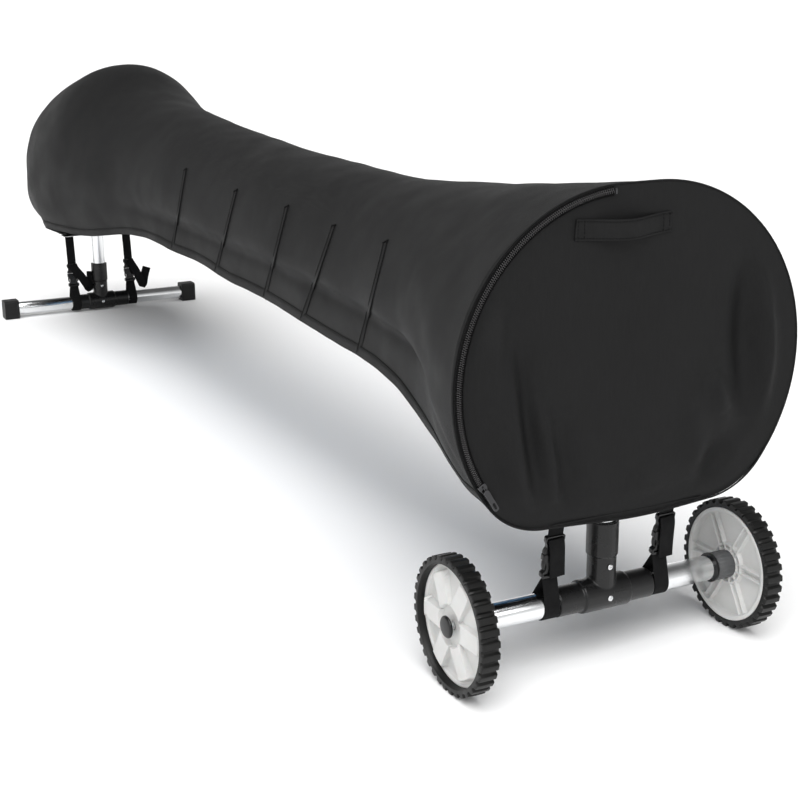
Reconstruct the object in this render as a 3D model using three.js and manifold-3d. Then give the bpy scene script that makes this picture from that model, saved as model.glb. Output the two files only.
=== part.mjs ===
// Pool cover reel on two tee stands, wearing its storage sleeve. Millimetres, +Z up.
// +X runs along the reel towards the wheeled stand, and Z = 0 is the ground.
// The origin is the centre of the bottom of the bounding box.
import * as THREE from "three";
import { mergeVertices } from "three/addons/utils/BufferGeometryUtils.js";
import Module from "manifold-3d";

const wasm = await Module();
wasm.setup();

// ---------- driving dimensions ----------
const standSpan = 2640; // post to post
const wheelRadius = 100;
const sleeveOverhang = 56; // closed far end beyond its post
const tubeRadius = 19; // 38 mm stand tubes
const tubeWall = 2;
const reelHeight = 468;
const gap = 0.3; // between faces that touch
const strapWidth = 25;
const webbing = 1.8;
const cloth = 2.5;

// ---------- places ----------
const halfLength = (standSpan + wheelRadius + sleeveOverhang) / 2;
const nearX = halfLength - wheelRadius;
const farX = sleeveOverhang - halfLength;
const farFootAxis = 27; // height of the far foot tube
const sleeveNearEnd = nearX + 60; // the zipped end
const sleeveFarEnd = -halfLength + cloth + gap;
const socketRadius = tubeRadius + gap;

// ---------- materials ----------
const finish = (color, roughness, metalness = 0) =>
  new THREE.MeshStandardMaterial({ color, roughness, metalness });
const blackPlastic = () => finish(0x1b1b1c, 0.55);
const buckleBlack = () => finish(0x101011, 0.35);
const whitePlastic = () => finish(0xe9e9e6, 0.45);
const greyPlastic = () => finish(0x8d8f90, 0.5);
const rubber = () => finish(0x161616, 0.85);
const aluminium = () => finish(0xd2d4d6, 0.25, 1);
const steel = () => finish(0xc4c6c8, 0.3, 1);
const oxfordCloth = () => finish(0x2b2b2c, 0.9);
const webbingCloth = () => finish(0x0e0e0f, 0.9);
const zipNylon = () => finish(0x141315, 0.6);
const bubbleFilm = () => finish(0x3f86b8, 0.4);

// ---------- shape helpers ----------
const degrees = (angle) => (angle * Math.PI) / 180;

// A closed geometry as a manifold-3d solid.
function solid(geometry) {
  const flat = geometry.index ? geometry.toNonIndexed() : geometry;
  const bare = new THREE.BufferGeometry().setAttribute("position", flat.getAttribute("position"));
  const merged = mergeVertices(bare, 1e-3);
  return new wasm.Manifold(
    new wasm.Mesh({
      numProp: 3,
      vertProperties: merged.attributes.position.array,
      triVerts: new Uint32Array(merged.index.array),
    }),
  );
}

function geometryOf(body) {
  const mesh = body.getMesh();
  return new THREE.BufferGeometry()
    .setAttribute("position", new THREE.BufferAttribute(new Float32Array(mesh.vertProperties), 3))
    .setIndex(new THREE.BufferAttribute(new Uint32Array(mesh.triVerts), 1));
}

const joined = (geometries) => geometries.map(solid).reduce((whole, piece) => whole.add(piece));

function cut(body, tools) {
  return geometryOf(tools.map(solid).reduce((rest, tool) => rest.subtract(tool), body));
}

// Turns a lathed geometry, made along +Y, to run along each axis.
const latheTurns = {
  X: (geometry) => geometry.rotateZ(-Math.PI / 2),
  Y: (geometry) => geometry,
  Z: (geometry) => geometry.rotateX(Math.PI / 2),
};

// A turned piece: profile is a list of [radius, position along the axis].
function lathe(profile, axis, centre = [0, 0, 0], segments = 28) {
  const points = profile.map(([radius, along]) => new THREE.Vector2(radius, along));
  const geometry = new THREE.LatheGeometry(points, segments);
  return latheTurns[axis](geometry).translate(...centre);
}

const rod = (radius, from, to, axis, centre, segments) =>
  lathe([[0, from], [radius, from], [radius, to], [0, to]], axis, centre, segments);

const pipe = (inner, outer, from, to, axis, centre, segments) =>
  lathe([[inner, from], [outer, from], [outer, to], [inner, to], [inner, from]], axis, centre, segments);

// Half a turn about Z for the pieces on the far or left side.
const facing = (geometry, sign) => (sign > 0 ? geometry : geometry.rotateZ(Math.PI));

// A flat outline drawn in Y and Z, extruded along +X from x.
function plateAlongX(outline, x, thickness, curveSegments = 12) {
  const options = { depth: thickness, bevelEnabled: false, curveSegments };
  const toX = new THREE.Matrix4().makeBasis(
    new THREE.Vector3(0, 1, 0),
    new THREE.Vector3(0, 0, 1),
    new THREE.Vector3(1, 0, 0),
  );
  return new THREE.ExtrudeGeometry(outline, options).applyMatrix4(toX).translate(x, 0, 0);
}

// A flat outline drawn in X and Z, extruded along Y and centred on y.
function plateAlongY(outline, y, thickness, curveSegments = 12) {
  const options = { depth: thickness, bevelEnabled: false, curveSegments };
  const upright = new THREE.ExtrudeGeometry(outline, options).rotateX(Math.PI / 2);
  return upright.translate(0, y + thickness / 2, 0);
}

function roundedRectangle(width, height, radius, centreU = 0, centreV = 0) {
  const u = width / 2 - radius;
  const v = height / 2 - radius;
  const outline = new THREE.Shape();
  outline.absarc(centreU + u, centreV - v, radius, -Math.PI / 2, 0);
  outline.absarc(centreU + u, centreV + v, radius, 0, Math.PI / 2);
  outline.absarc(centreU - u, centreV + v, radius, Math.PI / 2, Math.PI);
  outline.absarc(centreU - u, centreV - v, radius, Math.PI, 1.5 * Math.PI);
  outline.closePath();
  return outline;
}

const reel = new THREE.Group();

function part(name, geometry, material, parent = reel) {
  const mesh = new THREE.Mesh(geometry, material);
  mesh.name = name;
  parent.add(mesh);
  return mesh;
}

// ---------- stands ----------
const tee = {
  armRadius: 22,
  armHalfLength: 81,
  bellyRadius: 25,
  bellyHalfLength: 39,
  branchRadius: 21.5,
  collarRadius: 23.5,
  collarFrom: 62,
  collarTo: 114,
  postSeat: 23,
};
const screw = { headRadius: 4.2, headHeight: 2.6, shankRadius: 2, length: 9, tip: 2 };

// Heights of the two screws above the foot axis, and how far out each head sits.
const screwSeats = [
  { name: "lower", height: 0, seat: tee.bellyRadius },
  { name: "upper", height: 47, seat: tee.branchRadius },
];

function screwHoles(x, axisHeight) {
  return screwSeats.map(({ height, seat }) =>
    rod(screw.shankRadius + gap, seat - screw.length - 3, seat + 6, "X", [x, 0, axisHeight + height], 8),
  );
}

function teeFitting(x, axisHeight) {
  const centre = [x, 0, axisHeight];
  const body = joined([
    rod(tee.armRadius, -tee.armHalfLength, tee.armHalfLength, "Y", centre),
    rod(tee.bellyRadius, -tee.bellyHalfLength, tee.bellyHalfLength, "Y", centre),
    rod(tee.branchRadius, 0, tee.collarFrom + 1, "Z", centre),
    rod(tee.collarRadius, tee.collarFrom, tee.collarTo, "Z", centre),
  ]);
  return cut(body, [
    rod(socketRadius, -tee.armHalfLength - 1, tee.armHalfLength + 1, "Y", centre),
    rod(socketRadius, tee.postSeat, tee.collarTo + 1, "Z", centre),
    ...screwHoles(x, axisHeight),
  ]);
}

function teeScrew(x, axisHeight, { height, seat }) {
  const head = seat + gap;
  const tip = seat - screw.length;
  const profile = [
    [0, tip],
    [screw.shankRadius, tip + screw.tip],
    [screw.shankRadius, head],
    [screw.headRadius, head],
    [screw.headRadius, head + screw.headHeight * 0.5],
    [screw.headRadius * 0.7, head + screw.headHeight],
    [0, head + screw.headHeight],
  ];
  return lathe(profile, "X", [x, 0, axisHeight + height], 10);
}

// The housing on top of a post: a socket for the post and a ring for the reel's shaft.
const housing = { socketRadius: 23.5, ringRadius: 33, ringHalfLength: 22, socketDrop: 88, seatDrop: 36 };
const shaftRadius = 17;
const bushInner = shaftRadius + gap;
const bushOuter = bushInner + 2;

function bearingHousing(x) {
  const centre = [x, 0, reelHeight];
  const body = joined([
    rod(housing.ringRadius, -housing.ringHalfLength, housing.ringHalfLength, "X", centre),
    rod(housing.socketRadius, -housing.socketDrop, -bushOuter, "Z", centre),
  ]);
  return cut(body, [
    rod(bushOuter + gap, -housing.ringHalfLength - 1, housing.ringHalfLength + 1, "X", centre),
    rod(socketRadius, -housing.socketDrop - 1, -housing.seatDrop, "Z", centre),
  ]);
}

function bearingBush(x) {
  const half = housing.ringHalfLength;
  return pipe(bushInner, bushOuter, -half, half, "X", [x, 0, reelHeight], 20);
}

function postTube(x, axisHeight) {
  const from = axisHeight + tee.postSeat + gap;
  const to = reelHeight - housing.seatDrop - gap;
  const post = solid(pipe(tubeRadius - tubeWall, tubeRadius, from, to, "Z", [x, 0, 0]));
  return cut(post, screwHoles(x, axisHeight));
}

function footTube(x, axisHeight, halfWidth) {
  const tube = solid(pipe(tubeRadius - tubeWall, tubeRadius, -halfWidth, halfWidth, "Y", [x, 0, axisHeight]));
  return cut(tube, screwHoles(x, axisHeight));
}

function stand(side, x, axisHeight, footHalfWidth, footName) {
  part(side + "_tee", teeFitting(x, axisHeight), blackPlastic());
  part(side + "_post", postTube(x, axisHeight), aluminium());
  part(footName, footTube(x, axisHeight, footHalfWidth), aluminium());
  part(side + "_bearing_housing", bearingHousing(x), blackPlastic());
  part(side + "_bearing_bush", bearingBush(x), whitePlastic());
  for (const seat of screwSeats) {
    part(side + "_screw_" + seat.name, teeScrew(x, axisHeight, seat), steel());
  }
}

const axleTubeHalf = 196;
stand("near", nearX, wheelRadius, axleTubeHalf, "near_axle_tube");

const farFootHalf = 292;
const cap = { depth: 42, width: 46, corner: 8, seat: 34 };
stand("far", farX, farFootAxis, farFootHalf - cap.depth + cap.seat - gap, "far_foot_tube");

function footCap(sign) {
  const outline = roundedRectangle(cap.width, 2 * farFootAxis, cap.corner, farX, farFootAxis);
  const middle = sign * (farFootHalf - cap.depth / 2);
  const mouth = farFootHalf - cap.depth;
  const hole = rod(socketRadius, mouth - 1, mouth + cap.seat, "Y");
  const socket = facing(hole, sign).translate(farX, 0, farFootAxis);
  return cut(solid(plateAlongY(outline, middle, cap.depth, 5)), [socket]);
}

part("far_foot_cap_left", footCap(-1), rubber());
part("far_foot_cap_right", footCap(1), rubber());

// ---------- wheels and axle ----------
const axle = { radius: 6, halfLength: 252 };
const axleBore = axle.radius + gap;
const wheel = {
  outerFace: 255,
  width: 28,
  discRadius: 87.5,
  rimInner: 79,
  hubRadius: 30.5,
  bossRadius: 22,
  bossReach: 206,
  web: 6,
  spokes: 6,
  spokeWidth: 30,
  lugs: 36,
  lugDepth: 4,
};
const wheelAxis = [nearX, 0, wheelRadius];

part("axle_rod", rod(axle.radius, -axle.halfLength, axle.halfLength, "Y", wheelAxis, 20), steel());

// The bush that carries the axle in each end of the axle tube: a spigot and a collar.
const axleBushSize = { spigotLength: 20, collarRadius: 22.5, collarWidth: 9 };

function axleBush(sign) {
  const seat = axleTubeHalf + gap;
  const spigot = tubeRadius - tubeWall - gap;
  const profile = [
    [axleBore, seat - axleBushSize.spigotLength],
    [spigot, seat - axleBushSize.spigotLength],
    [spigot, seat],
    [axleBushSize.collarRadius, seat],
    [axleBushSize.collarRadius, seat + axleBushSize.collarWidth],
    [axleBore, seat + axleBushSize.collarWidth],
    [axleBore, seat - axleBushSize.spigotLength],
  ];
  return facing(lathe(profile, "Y", [0, 0, 0], 20), sign).translate(...wheelAxis);
}

// The tread is a ring whose rim steps in and out, once for each lug.
function tyre() {
  const step = (2 * Math.PI) / wheel.lugs;
  const low = wheelRadius - wheel.lugDepth;
  const lugCorners = [[low, -0.35], [wheelRadius, -0.25], [wheelRadius, 0.25], [low, 0.35]];
  const rim = [];
  for (let lug = 0; lug < wheel.lugs; lug++) {
    for (const [radius, share] of lugCorners) {
      const angle = (lug + share) * step - Math.PI / 2;
      rim.push(new THREE.Vector2(radius * Math.cos(angle), radius * Math.sin(angle)));
    }
  }
  const outline = new THREE.Shape(rim);
  outline.holes.push(new THREE.Path().absarc(0, 0, wheel.discRadius + gap, 0, 2 * Math.PI, true));
  return plateAlongY(outline, 0, wheel.width, 32);
}

// Rim, web, spokes and hub of the moulded wheel. Its outer face is at +Y.
function wheelDisc() {
  const half = wheel.width / 2;
  const spokes = [];
  for (let spoke = 0; spoke < wheel.spokes / 2; spoke++) {
    const bar = new THREE.BoxGeometry(2 * wheel.rimInner + 6, half - 2, wheel.spokeWidth);
    bar.translate(0, half / 2, 0).rotateY((spoke * 2 * Math.PI) / wheel.spokes);
    spokes.push(bar);
  }
  const body = joined([
    pipe(wheel.rimInner, wheel.discRadius, -half, half, "Y"),
    rod(wheel.rimInner + 3, -wheel.web / 2, wheel.web / 2, "Y"),
    rod(wheel.hubRadius, -half + 4, half - 1, "Y"),
    rod(wheel.bossRadius, wheel.bossReach - wheel.outerFace + half, 0, "Y"),
    ...spokes,
  ]);
  return cut(body, [rod(axleBore, -2 * wheel.width, wheel.width, "Y", [0, 0, 0], 20)]);
}

const hubCapSize = { radius: 16, rim: 2, crownRadius: 13, crown: 4, dome: 4.6 };

function hubCap() {
  const seat = wheel.width / 2 - 1 + gap;
  const profile = [
    [0, seat],
    [hubCapSize.radius, seat],
    [hubCapSize.radius, seat + hubCapSize.rim],
    [hubCapSize.crownRadius, seat + hubCapSize.crown],
    [0, seat + hubCapSize.dome],
  ];
  return lathe(profile, "Y", [0, 0, 0], 20);
}

function wheelSet(side, sign) {
  const centre = [nearX, sign * (wheel.outerFace - wheel.width / 2), wheelRadius];
  part(side + "_tyre", facing(tyre(), sign).translate(...centre), rubber());
  part(side + "_wheel_disc", facing(wheelDisc(), sign).translate(...centre), whitePlastic());
  part(side + "_hub_cap", facing(hubCap(), sign).translate(...centre), blackPlastic());
  part(side + "_axle_bush", axleBush(sign), greyPlastic());
}

wheelSet("left", -1);
wheelSet("right", 1);

// ---------- reel ----------
const reelTube = { middleOuter: 38, middleInner: 36, endOuter: 35.7, endInner: 33.7 };
const middleHalf = 650;
const tubeOverlap = 150;
const endTubeReach = 1180;
const onReel = [0, 0, reelHeight];

const middleTube = pipe(reelTube.middleInner, reelTube.middleOuter, -middleHalf, middleHalf, "X", onReel, 32);
part("reel_tube_middle", middleTube, aluminium());

// An end tube slides into the middle tube by the length of the overlap.
function endTube(sign) {
  const start = middleHalf - tubeOverlap;
  const [from, to] = sign > 0 ? [start, endTubeReach] : [-endTubeReach, -start];
  return pipe(reelTube.endInner, reelTube.endOuter, from, to, "X", onReel, 32);
}

part("reel_tube_near", endTube(1), aluminium());
part("reel_tube_far", endTube(-1), aluminium());

// A plug in each end of the tube, turned in one piece with the shaft that runs in the bearing.
const plug = { depth: 40, flange: 8, screwHole: 4.3, screwDepth: 34 };

function endPlug(sign, shaftEnd) {
  const face = endTubeReach + gap;
  const spigot = reelTube.endInner - gap;
  const profile = [
    [0, face - plug.depth],
    [spigot, face - plug.depth],
    [spigot, face],
    [reelTube.middleOuter, face],
    [reelTube.middleOuter, face + plug.flange],
    [shaftRadius, face + plug.flange],
    [shaftRadius, shaftEnd],
    [plug.screwHole, shaftEnd],
    [plug.screwHole, shaftEnd - plug.screwDepth],
    [0, shaftEnd - plug.screwDepth],
  ];
  return facing(lathe(profile, "X", [0, 0, 0], 20), sign).translate(...onReel);
}

const shaftPastPost = 26;
part("near_end_plug", endPlug(1, nearX + shaftPastPost), blackPlastic());
part("far_end_plug", endPlug(-1, -farX + shaftPastPost), blackPlastic());

// Rim, four spokes and hub of a hand wheel centred on the origin, its shaft along X.
const handWheel = { radius: 195, gripRadius: 11, spokes: 4, spokeWidth: 26, spokeDepth: 12 };

function handWheelBody(hub) {
  const middle = handWheel.radius - handWheel.gripRadius;
  const rim = new THREE.TorusGeometry(middle, handWheel.gripRadius, 8, 40).rotateY(Math.PI / 2);
  const pieces = [rim, rod(hub.radius, -hub.halfLength, hub.halfLength, "X")];
  for (let bar = 0; bar < handWheel.spokes / 2; bar++) {
    const spoke = new THREE.BoxGeometry(handWheel.spokeDepth, 2 * middle, handWheel.spokeWidth);
    pieces.push(spoke.rotateX(Math.PI / 4 + (bar * Math.PI) / 2));
  }
  return cut(joined(pieces), [rod(hub.bore, -hub.halfLength - 1, hub.halfLength + 1, "X")]);
}

// The near hand wheel is keyed to the shaft beside its bearing, the far one to the end tube.
const nearHub = { x: nearX - 60, radius: 30, halfLength: 18, bore: shaftRadius + gap };
const farHub = { x: farX + 252, radius: 50, halfLength: 14, bore: reelTube.endOuter + gap };
const nearHandWheel = handWheelBody(nearHub).translate(nearHub.x, 0, reelHeight);
const farHandWheel = handWheelBody(farHub).translate(farHub.x, 0, reelHeight);
part("near_hand_wheel", nearHandWheel, blackPlastic());
part("far_hand_wheel", farHandWheel, blackPlastic());

// The bolt and washer that keep each shaft in its bearing, made as one turned piece.
const bolt = { length: 30, washerRadius: 21, washer: 2, headRadius: 9, head: 6 };

function shaftBolt(sign, shaftEnd) {
  const face = shaftEnd + gap;
  const shank = plug.screwHole - gap;
  const profile = [
    [0, face - bolt.length],
    [shank, face - bolt.length],
    [shank, face],
    [bolt.washerRadius, face],
    [bolt.washerRadius, face + bolt.washer],
    [bolt.headRadius, face + bolt.washer],
    [bolt.headRadius, face + bolt.washer + bolt.head],
    [0, face + bolt.washer + bolt.head],
  ];
  return facing(lathe(profile, "X", [0, 0, 0], 16), sign).translate(...onReel);
}

part("near_shaft_bolt", shaftBolt(1, nearX + shaftPastPost), steel());
part("far_shaft_bolt", shaftBolt(-1, -farX + shaftPastPost), steel());

const roll = { radius: 122, farEnd: -1050, nearEnd: 1150 };
const blanketRoll = pipe(reelTube.middleOuter + gap, roll.radius, roll.farEnd, roll.nearEnd, "X", onReel, 40);
part("blanket_roll", blanketRoll, bubbleFilm());

// ---------- sleeve ----------
// Half width, top, hem height and hem half width, from the closed far end to the zipped near end.
const sleeveStations = [
  { x: sleeveFarEnd, half: 152, top: 606, hem: 280, hemHalf: 147 },
  { x: -1368, half: 174, top: 630, hem: 258, hemHalf: 126 },
  { x: -1310, half: 198, top: 656, hem: 244, hemHalf: 106 },
  { x: -1200, half: 224, top: 686, hem: 264, hemHalf: 152 },
  { x: -1060, half: 240, top: 722, hem: 308, hemHalf: 220 },
  { x: -920, half: 234, top: 742, hem: 318, hemHalf: 210 },
  { x: -750, half: 204, top: 696, hem: 328, hemHalf: 180 },
  { x: -500, half: 162, top: 666, hem: 364, hemHalf: 140 },
  { x: -150, half: 150, top: 644, hem: 374, hemHalf: 132 },
  { x: 300, half: 150, top: 630, hem: 366, hemHalf: 132 },
  { x: 700, half: 157, top: 634, hem: 360, hemHalf: 138 },
  { x: 950, half: 183, top: 653, hem: 350, hemHalf: 160 },
  { x: 1115, half: 216, top: 673, hem: 312, hemHalf: 180 },
  { x: 1240, half: 250, top: 690, hem: 287, hemHalf: 202 },
  { x: sleeveNearEnd, half: 282, top: 704, hem: 284, hemHalf: 222 },
];
const belly = 448; // height at which the sleeve is widest

// Smooth value of one measure at x, by cubic pieces that follow the stations.
function measureAt(key, x) {
  const last = sleeveStations.length - 2;
  const found = sleeveStations.findIndex((station) => station.x > x) - 1;
  const i = found < 0 ? last : found;
  const [a, b] = [sleeveStations[i], sleeveStations[i + 1]];
  const slope = (from, to) => (to[key] - from[key]) / (to.x - from.x);
  const before = i > 0 ? slope(sleeveStations[i - 1], b) : slope(a, b);
  const after = i < last ? slope(a, sleeveStations[i + 2]) : slope(a, b);
  const span = b.x - a.x;
  const t = (x - a.x) / span;
  const rise = t * t * (3 - 2 * t);
  return a[key] + (b[key] - a[key]) * rise + span * t * (1 - t) * (before * (1 - t) - after * t);
}

// Points from the +Y hem over the top to the -Y hem, drawn in by inset.
function sleeveSection(x, inset) {
  const half = measureAt("half", x) - inset;
  const top = measureAt("top", x) - inset;
  const hem = measureAt("hem", x);
  const hemHalf = measureAt("hemHalf", x) - inset;
  const sideSteps = 6;
  const archSteps = 14;
  const side = [];
  for (let i = 0; i < sideSteps; i++) {
    const drop = 1 - i / sideSteps;
    side.push([half - (half - hemHalf) * drop ** 2.2, belly - (belly - hem) * drop]);
  }
  const arch = [];
  for (let i = 0; i <= archSteps; i++) {
    const angle = (i * Math.PI) / archSteps;
    const across = Math.sign(Math.cos(angle)) * Math.abs(Math.cos(angle)) ** 0.95;
    arch.push([half * across, belly + (top - belly) * Math.sin(angle) ** 0.95]);
  }
  const otherSide = side.map(([y, z]) => [-y, z]).reverse();
  return [...side, ...arch, ...otherSide];
}

// A closed skin through rings of points. Each ring lists the outside, then the inside backwards.
function skin(rings) {
  const count = rings[0].length;
  const triangles = [];
  const quad = (a, b, c, d) => triangles.push(a, c, b, a, d, c);
  for (let ring = 0; ring + 1 < rings.length; ring++) {
    for (let i = 0; i < count; i++) {
      const next = (i + 1) % count;
      quad(ring * count + i, (ring + 1) * count + i, (ring + 1) * count + next, ring * count + next);
    }
  }
  const end = (rings.length - 1) * count;
  for (let i = 0; i + 1 < count / 2; i++) {
    quad(i, i + 1, count - 2 - i, count - 1 - i);
    quad(end + i, end + count - 1 - i, end + count - 2 - i, end + i + 1);
  }
  const positions = new THREE.Float32BufferAttribute(rings.flat(2), 3);
  return new THREE.BufferGeometry().setAttribute("position", positions).setIndex(triangles);
}

function sleeve() {
  const rings = [];
  const bays = 30;
  for (let bay = 0; bay <= bays; bay++) {
    const x = sleeveFarEnd + ((sleeveNearEnd - sleeveFarEnd) * bay) / bays;
    const outside = sleeveSection(x, 0);
    const inside = sleeveSection(x, cloth).reverse();
    rings.push([...outside, ...inside].map(([y, z]) => [x, y, z]));
  }
  return skin(rings);
}

part("cover_sleeve", sleeve(), oxfordCloth());

// Near end panel: two big arcs, a flat top between them, round corners and a flat bottom edge.
const endPanel = { arcRadius: 256, arcY: 26, bottom: 246, cornerRadius: 110 };
const panelTurn = Math.asin(
  (belly - endPanel.bottom - endPanel.cornerRadius) / (endPanel.arcRadius - endPanel.cornerRadius),
);

function nearPanelOutline() {
  const { arcRadius, arcY, bottom, cornerRadius } = endPanel;
  const cornerY = arcY + (arcRadius - cornerRadius) * Math.cos(panelTurn);
  const outline = new THREE.Shape();
  outline.absarc(cornerY, bottom + cornerRadius, cornerRadius, -Math.PI / 2, -panelTurn);
  outline.absarc(arcY, belly, arcRadius, -panelTurn, Math.PI / 2);
  outline.absarc(-arcY, belly, arcRadius, Math.PI / 2, Math.PI + panelTurn);
  outline.absarc(-cornerY, bottom + cornerRadius, cornerRadius, Math.PI + panelTurn, 1.5 * Math.PI);
  outline.closePath();
  return outline;
}

// Each end panel turns under the shaft as a flap, which the straps hang from. A notch lets the
// flap pass the post and the bearing housing when the sleeve is lifted off.
const flap = { inset: 20, notchHalf: 40, notchReach: 44, nearHalf: 125, farHalf: 109 };

function panelWithFlap(outline, panelX, postX, bottom, halfWidth, curveSegments) {
  const outward = Math.sign(panelX - postX);
  const start = postX + outward * flap.inset;
  const end = outward > 0 ? panelX + cloth : panelX;
  const notchEnd = postX + outward * flap.notchReach;
  const shelf = new THREE.BoxGeometry(Math.abs(end - start), 2 * halfWidth, cloth);
  const notch = new THREE.BoxGeometry(Math.abs(notchEnd - start) + 2, 2 * flap.notchHalf, 3 * cloth);
  shelf.translate((start + end) / 2, 0, bottom + cloth / 2);
  notch.translate((start + notchEnd) / 2 - outward, 0, bottom + cloth / 2);
  return cut(joined([plateAlongX(outline, panelX, cloth, curveSegments), shelf]), [notch]);
}

const nearPanelX = sleeveNearEnd + gap;
const panelFace = nearPanelX + cloth;
const nearPanel = panelWithFlap(nearPanelOutline(), nearPanelX, nearX, endPanel.bottom, flap.nearHalf, 10);
part("near_end_panel", nearPanel, oxfordCloth());

// Far end panel: the sleeve's own last section, closed below by round corners and a flat edge.
const farPanelBottom = 224;

function farPanelOutline() {
  const corner = 85; // radius of the two lower corners
  const rim = sleeveSection(sleeveFarEnd, 0);
  const [hemHalf, hem] = rim[0];
  const cornerZ = farPanelBottom + corner;
  const turn = Math.asin((cornerZ - hem) / corner);
  const cornerY = hemHalf - corner * Math.cos(turn);
  const outline = new THREE.Shape(rim.slice(1, -1).map(([y, z]) => new THREE.Vector2(y, z)));
  outline.absarc(-cornerY, cornerZ, corner, Math.PI + turn, 1.5 * Math.PI);
  outline.absarc(cornerY, cornerZ, corner, 1.5 * Math.PI, 2 * Math.PI - turn);
  outline.closePath();
  return outline;
}

const farPanel = panelWithFlap(farPanelOutline(), -halfLength, farX, farPanelBottom, flap.farHalf, 6);
part("far_end_panel", farPanel, oxfordCloth());

// Carrying handle: a strip of cloth sewn down at both ends and bowed out between them.
const handle = { centreY: -29, centreZ: 649, length: 151, height: 28, tab: 16, bow: 14, thickness: 2.4 };

function carryHandle() {
  const steps = 14;
  const bowAt = (y) => {
    const free = handle.length - 2 * handle.tab;
    const share = Math.min(1, Math.abs(y) / (free / 2));
    return (handle.bow * (1 + Math.cos(Math.PI * share))) / 2;
  };
  const line = [];
  for (let i = 0; i <= steps; i++) {
    const y = handle.length * (i / steps - 0.5);
    line.push([y, panelFace + gap + bowAt(y)]);
  }
  const outer = line.map(([y, x]) => new THREE.Vector2(y, x + handle.thickness)).reverse();
  const inner = line.map(([y, x]) => new THREE.Vector2(y, x));
  const strip = new THREE.ExtrudeGeometry(new THREE.Shape([...inner, ...outer]), {
    depth: handle.height,
    bevelEnabled: false,
  });
  const swapXY = new THREE.Matrix4().makeBasis(
    new THREE.Vector3(0, 1, 0),
    new THREE.Vector3(1, 0, 0),
    new THREE.Vector3(0, 0, -1),
  );
  return strip.applyMatrix4(swapXY).translate(0, handle.centreY, handle.centreZ + handle.height / 2);
}

part("cover_handle", carryHandle(), oxfordCloth());

// ---------- zip ----------
// The zip follows the left big arc of the end panel. Angles run from +Y through +Z.
const zip = {
  centreY: -endPanel.arcY,
  radius: endPanel.arcRadius - 7.5,
  tapeHalf: 7,
  tapeThickness: 1.2,
  coilHalf: 2.6,
  coilThickness: 2.4,
  topAngle: 95,
  bottomAngle: 217,
  sliderAngle: 211,
};

function arcBand(halfWidth, x, thickness) {
  const [start, end] = [degrees(zip.topAngle), degrees(zip.bottomAngle)];
  const outline = new THREE.Shape();
  outline.absarc(zip.centreY, belly, zip.radius + halfWidth, start, end);
  outline.absarc(zip.centreY, belly, zip.radius - halfWidth, end, start, true);
  outline.closePath();
  return plateAlongX(outline, x, thickness, 20);
}

const tapeX = panelFace + gap;
const coilX = tapeX + zip.tapeThickness + gap;
const sliderX = coilX + zip.coilThickness + gap;
part("zip_tape", arcBand(zip.tapeHalf, tapeX, zip.tapeThickness), zipNylon());
part("zip_coil", arcBand(zip.coilHalf, coilX, zip.coilThickness), zipNylon());

// The slider and its pull are drawn hanging straight down, then turned on to the zip's line.
const slider = { width: 12, length: 16, corner: 3, thickness: 4.5 };
const pull = { width: 9, length: 36, thickness: 1.8, eyeRadius: 2.4, eyeFromEnd: 6, clearance: 0.6 };

const sliderGroup = new THREE.Group();
const sliderTurn = degrees(zip.sliderAngle);
sliderGroup.position.set(
  sliderX,
  zip.centreY + zip.radius * Math.cos(sliderTurn),
  belly + zip.radius * Math.sin(sliderTurn),
);
sliderGroup.rotation.x = sliderTurn - Math.PI;
reel.add(sliderGroup);

part(
  "zip_slider",
  plateAlongX(roundedRectangle(slider.width, slider.length, slider.corner), 0, slider.thickness, 4),
  steel(),
  sliderGroup,
);

// The pull hangs from the slider's centre, hinged at its top end, and folds up over the slider.
function zipPull() {
  const outline = roundedRectangle(pull.width, pull.length, 3.5, 0, -pull.length / 2);
  const eyeHeight = pull.eyeFromEnd - pull.length;
  outline.holes.push(new THREE.Path().absarc(0, eyeHeight, pull.eyeRadius, 0, 2 * Math.PI, true));
  return plateAlongX(outline, slider.thickness + pull.clearance, pull.thickness, 5);
}

part("zip_pull", zipPull(), steel(), sliderGroup);

// ---------- hold-down straps ----------
// Each strap hangs from the sleeve's edge, clips, and loops round a foot tube. It is drawn
// upright with the tube at its origin, then leaned so that its top meets the sleeve's edge.
const buckle = { width: 32, thickness: 9, foot: 48, split: 88, top: 116 };

// A teardrop of webbing: round the tube, then both plies up to the buckle's foot.
function strapLoop(holeRadius) {
  const apex = buckle.foot - gap;
  const tear = (radius, tip) => {
    const touch = Math.acos(radius / tip);
    const outline = new THREE.Shape();
    outline.absarc(0, 0, radius, Math.PI / 2 + touch, 2.5 * Math.PI - touch);
    outline.lineTo(0, tip);
    outline.closePath();
    return outline;
  };
  const outline = tear(holeRadius + webbing, apex);
  outline.holes.push(tear(holeRadius, apex - 2.4 * webbing)); // the plies meet below the apex
  return plateAlongY(outline, 0, strapWidth, 20);
}

// A buckle half: a rounded block, waisted where the side prongs are squeezed.
function buckleHalf(from, to, waist) {
  const [half, middle] = [buckle.width / 2, (from + to) / 2];
  const outline = new THREE.Shape();
  outline.moveTo(-half + 2, from);
  outline.lineTo(half - 2, from);
  outline.lineTo(half, from + 3);
  outline.quadraticCurveTo(half - waist, middle, half, to - 3);
  outline.lineTo(half - 2, to);
  outline.lineTo(-half + 2, to);
  outline.lineTo(-half, to - 3);
  outline.quadraticCurveTo(waist - half, middle, -half, from + 3);
  outline.closePath();
  return plateAlongX(outline, -buckle.thickness / 2, buckle.thickness, 6);
}

function upperStrap(top) {
  const from = buckle.top + gap;
  return new THREE.BoxGeometry(webbing, strapWidth, top - from).translate(0, 0, (top + from) / 2);
}

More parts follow.
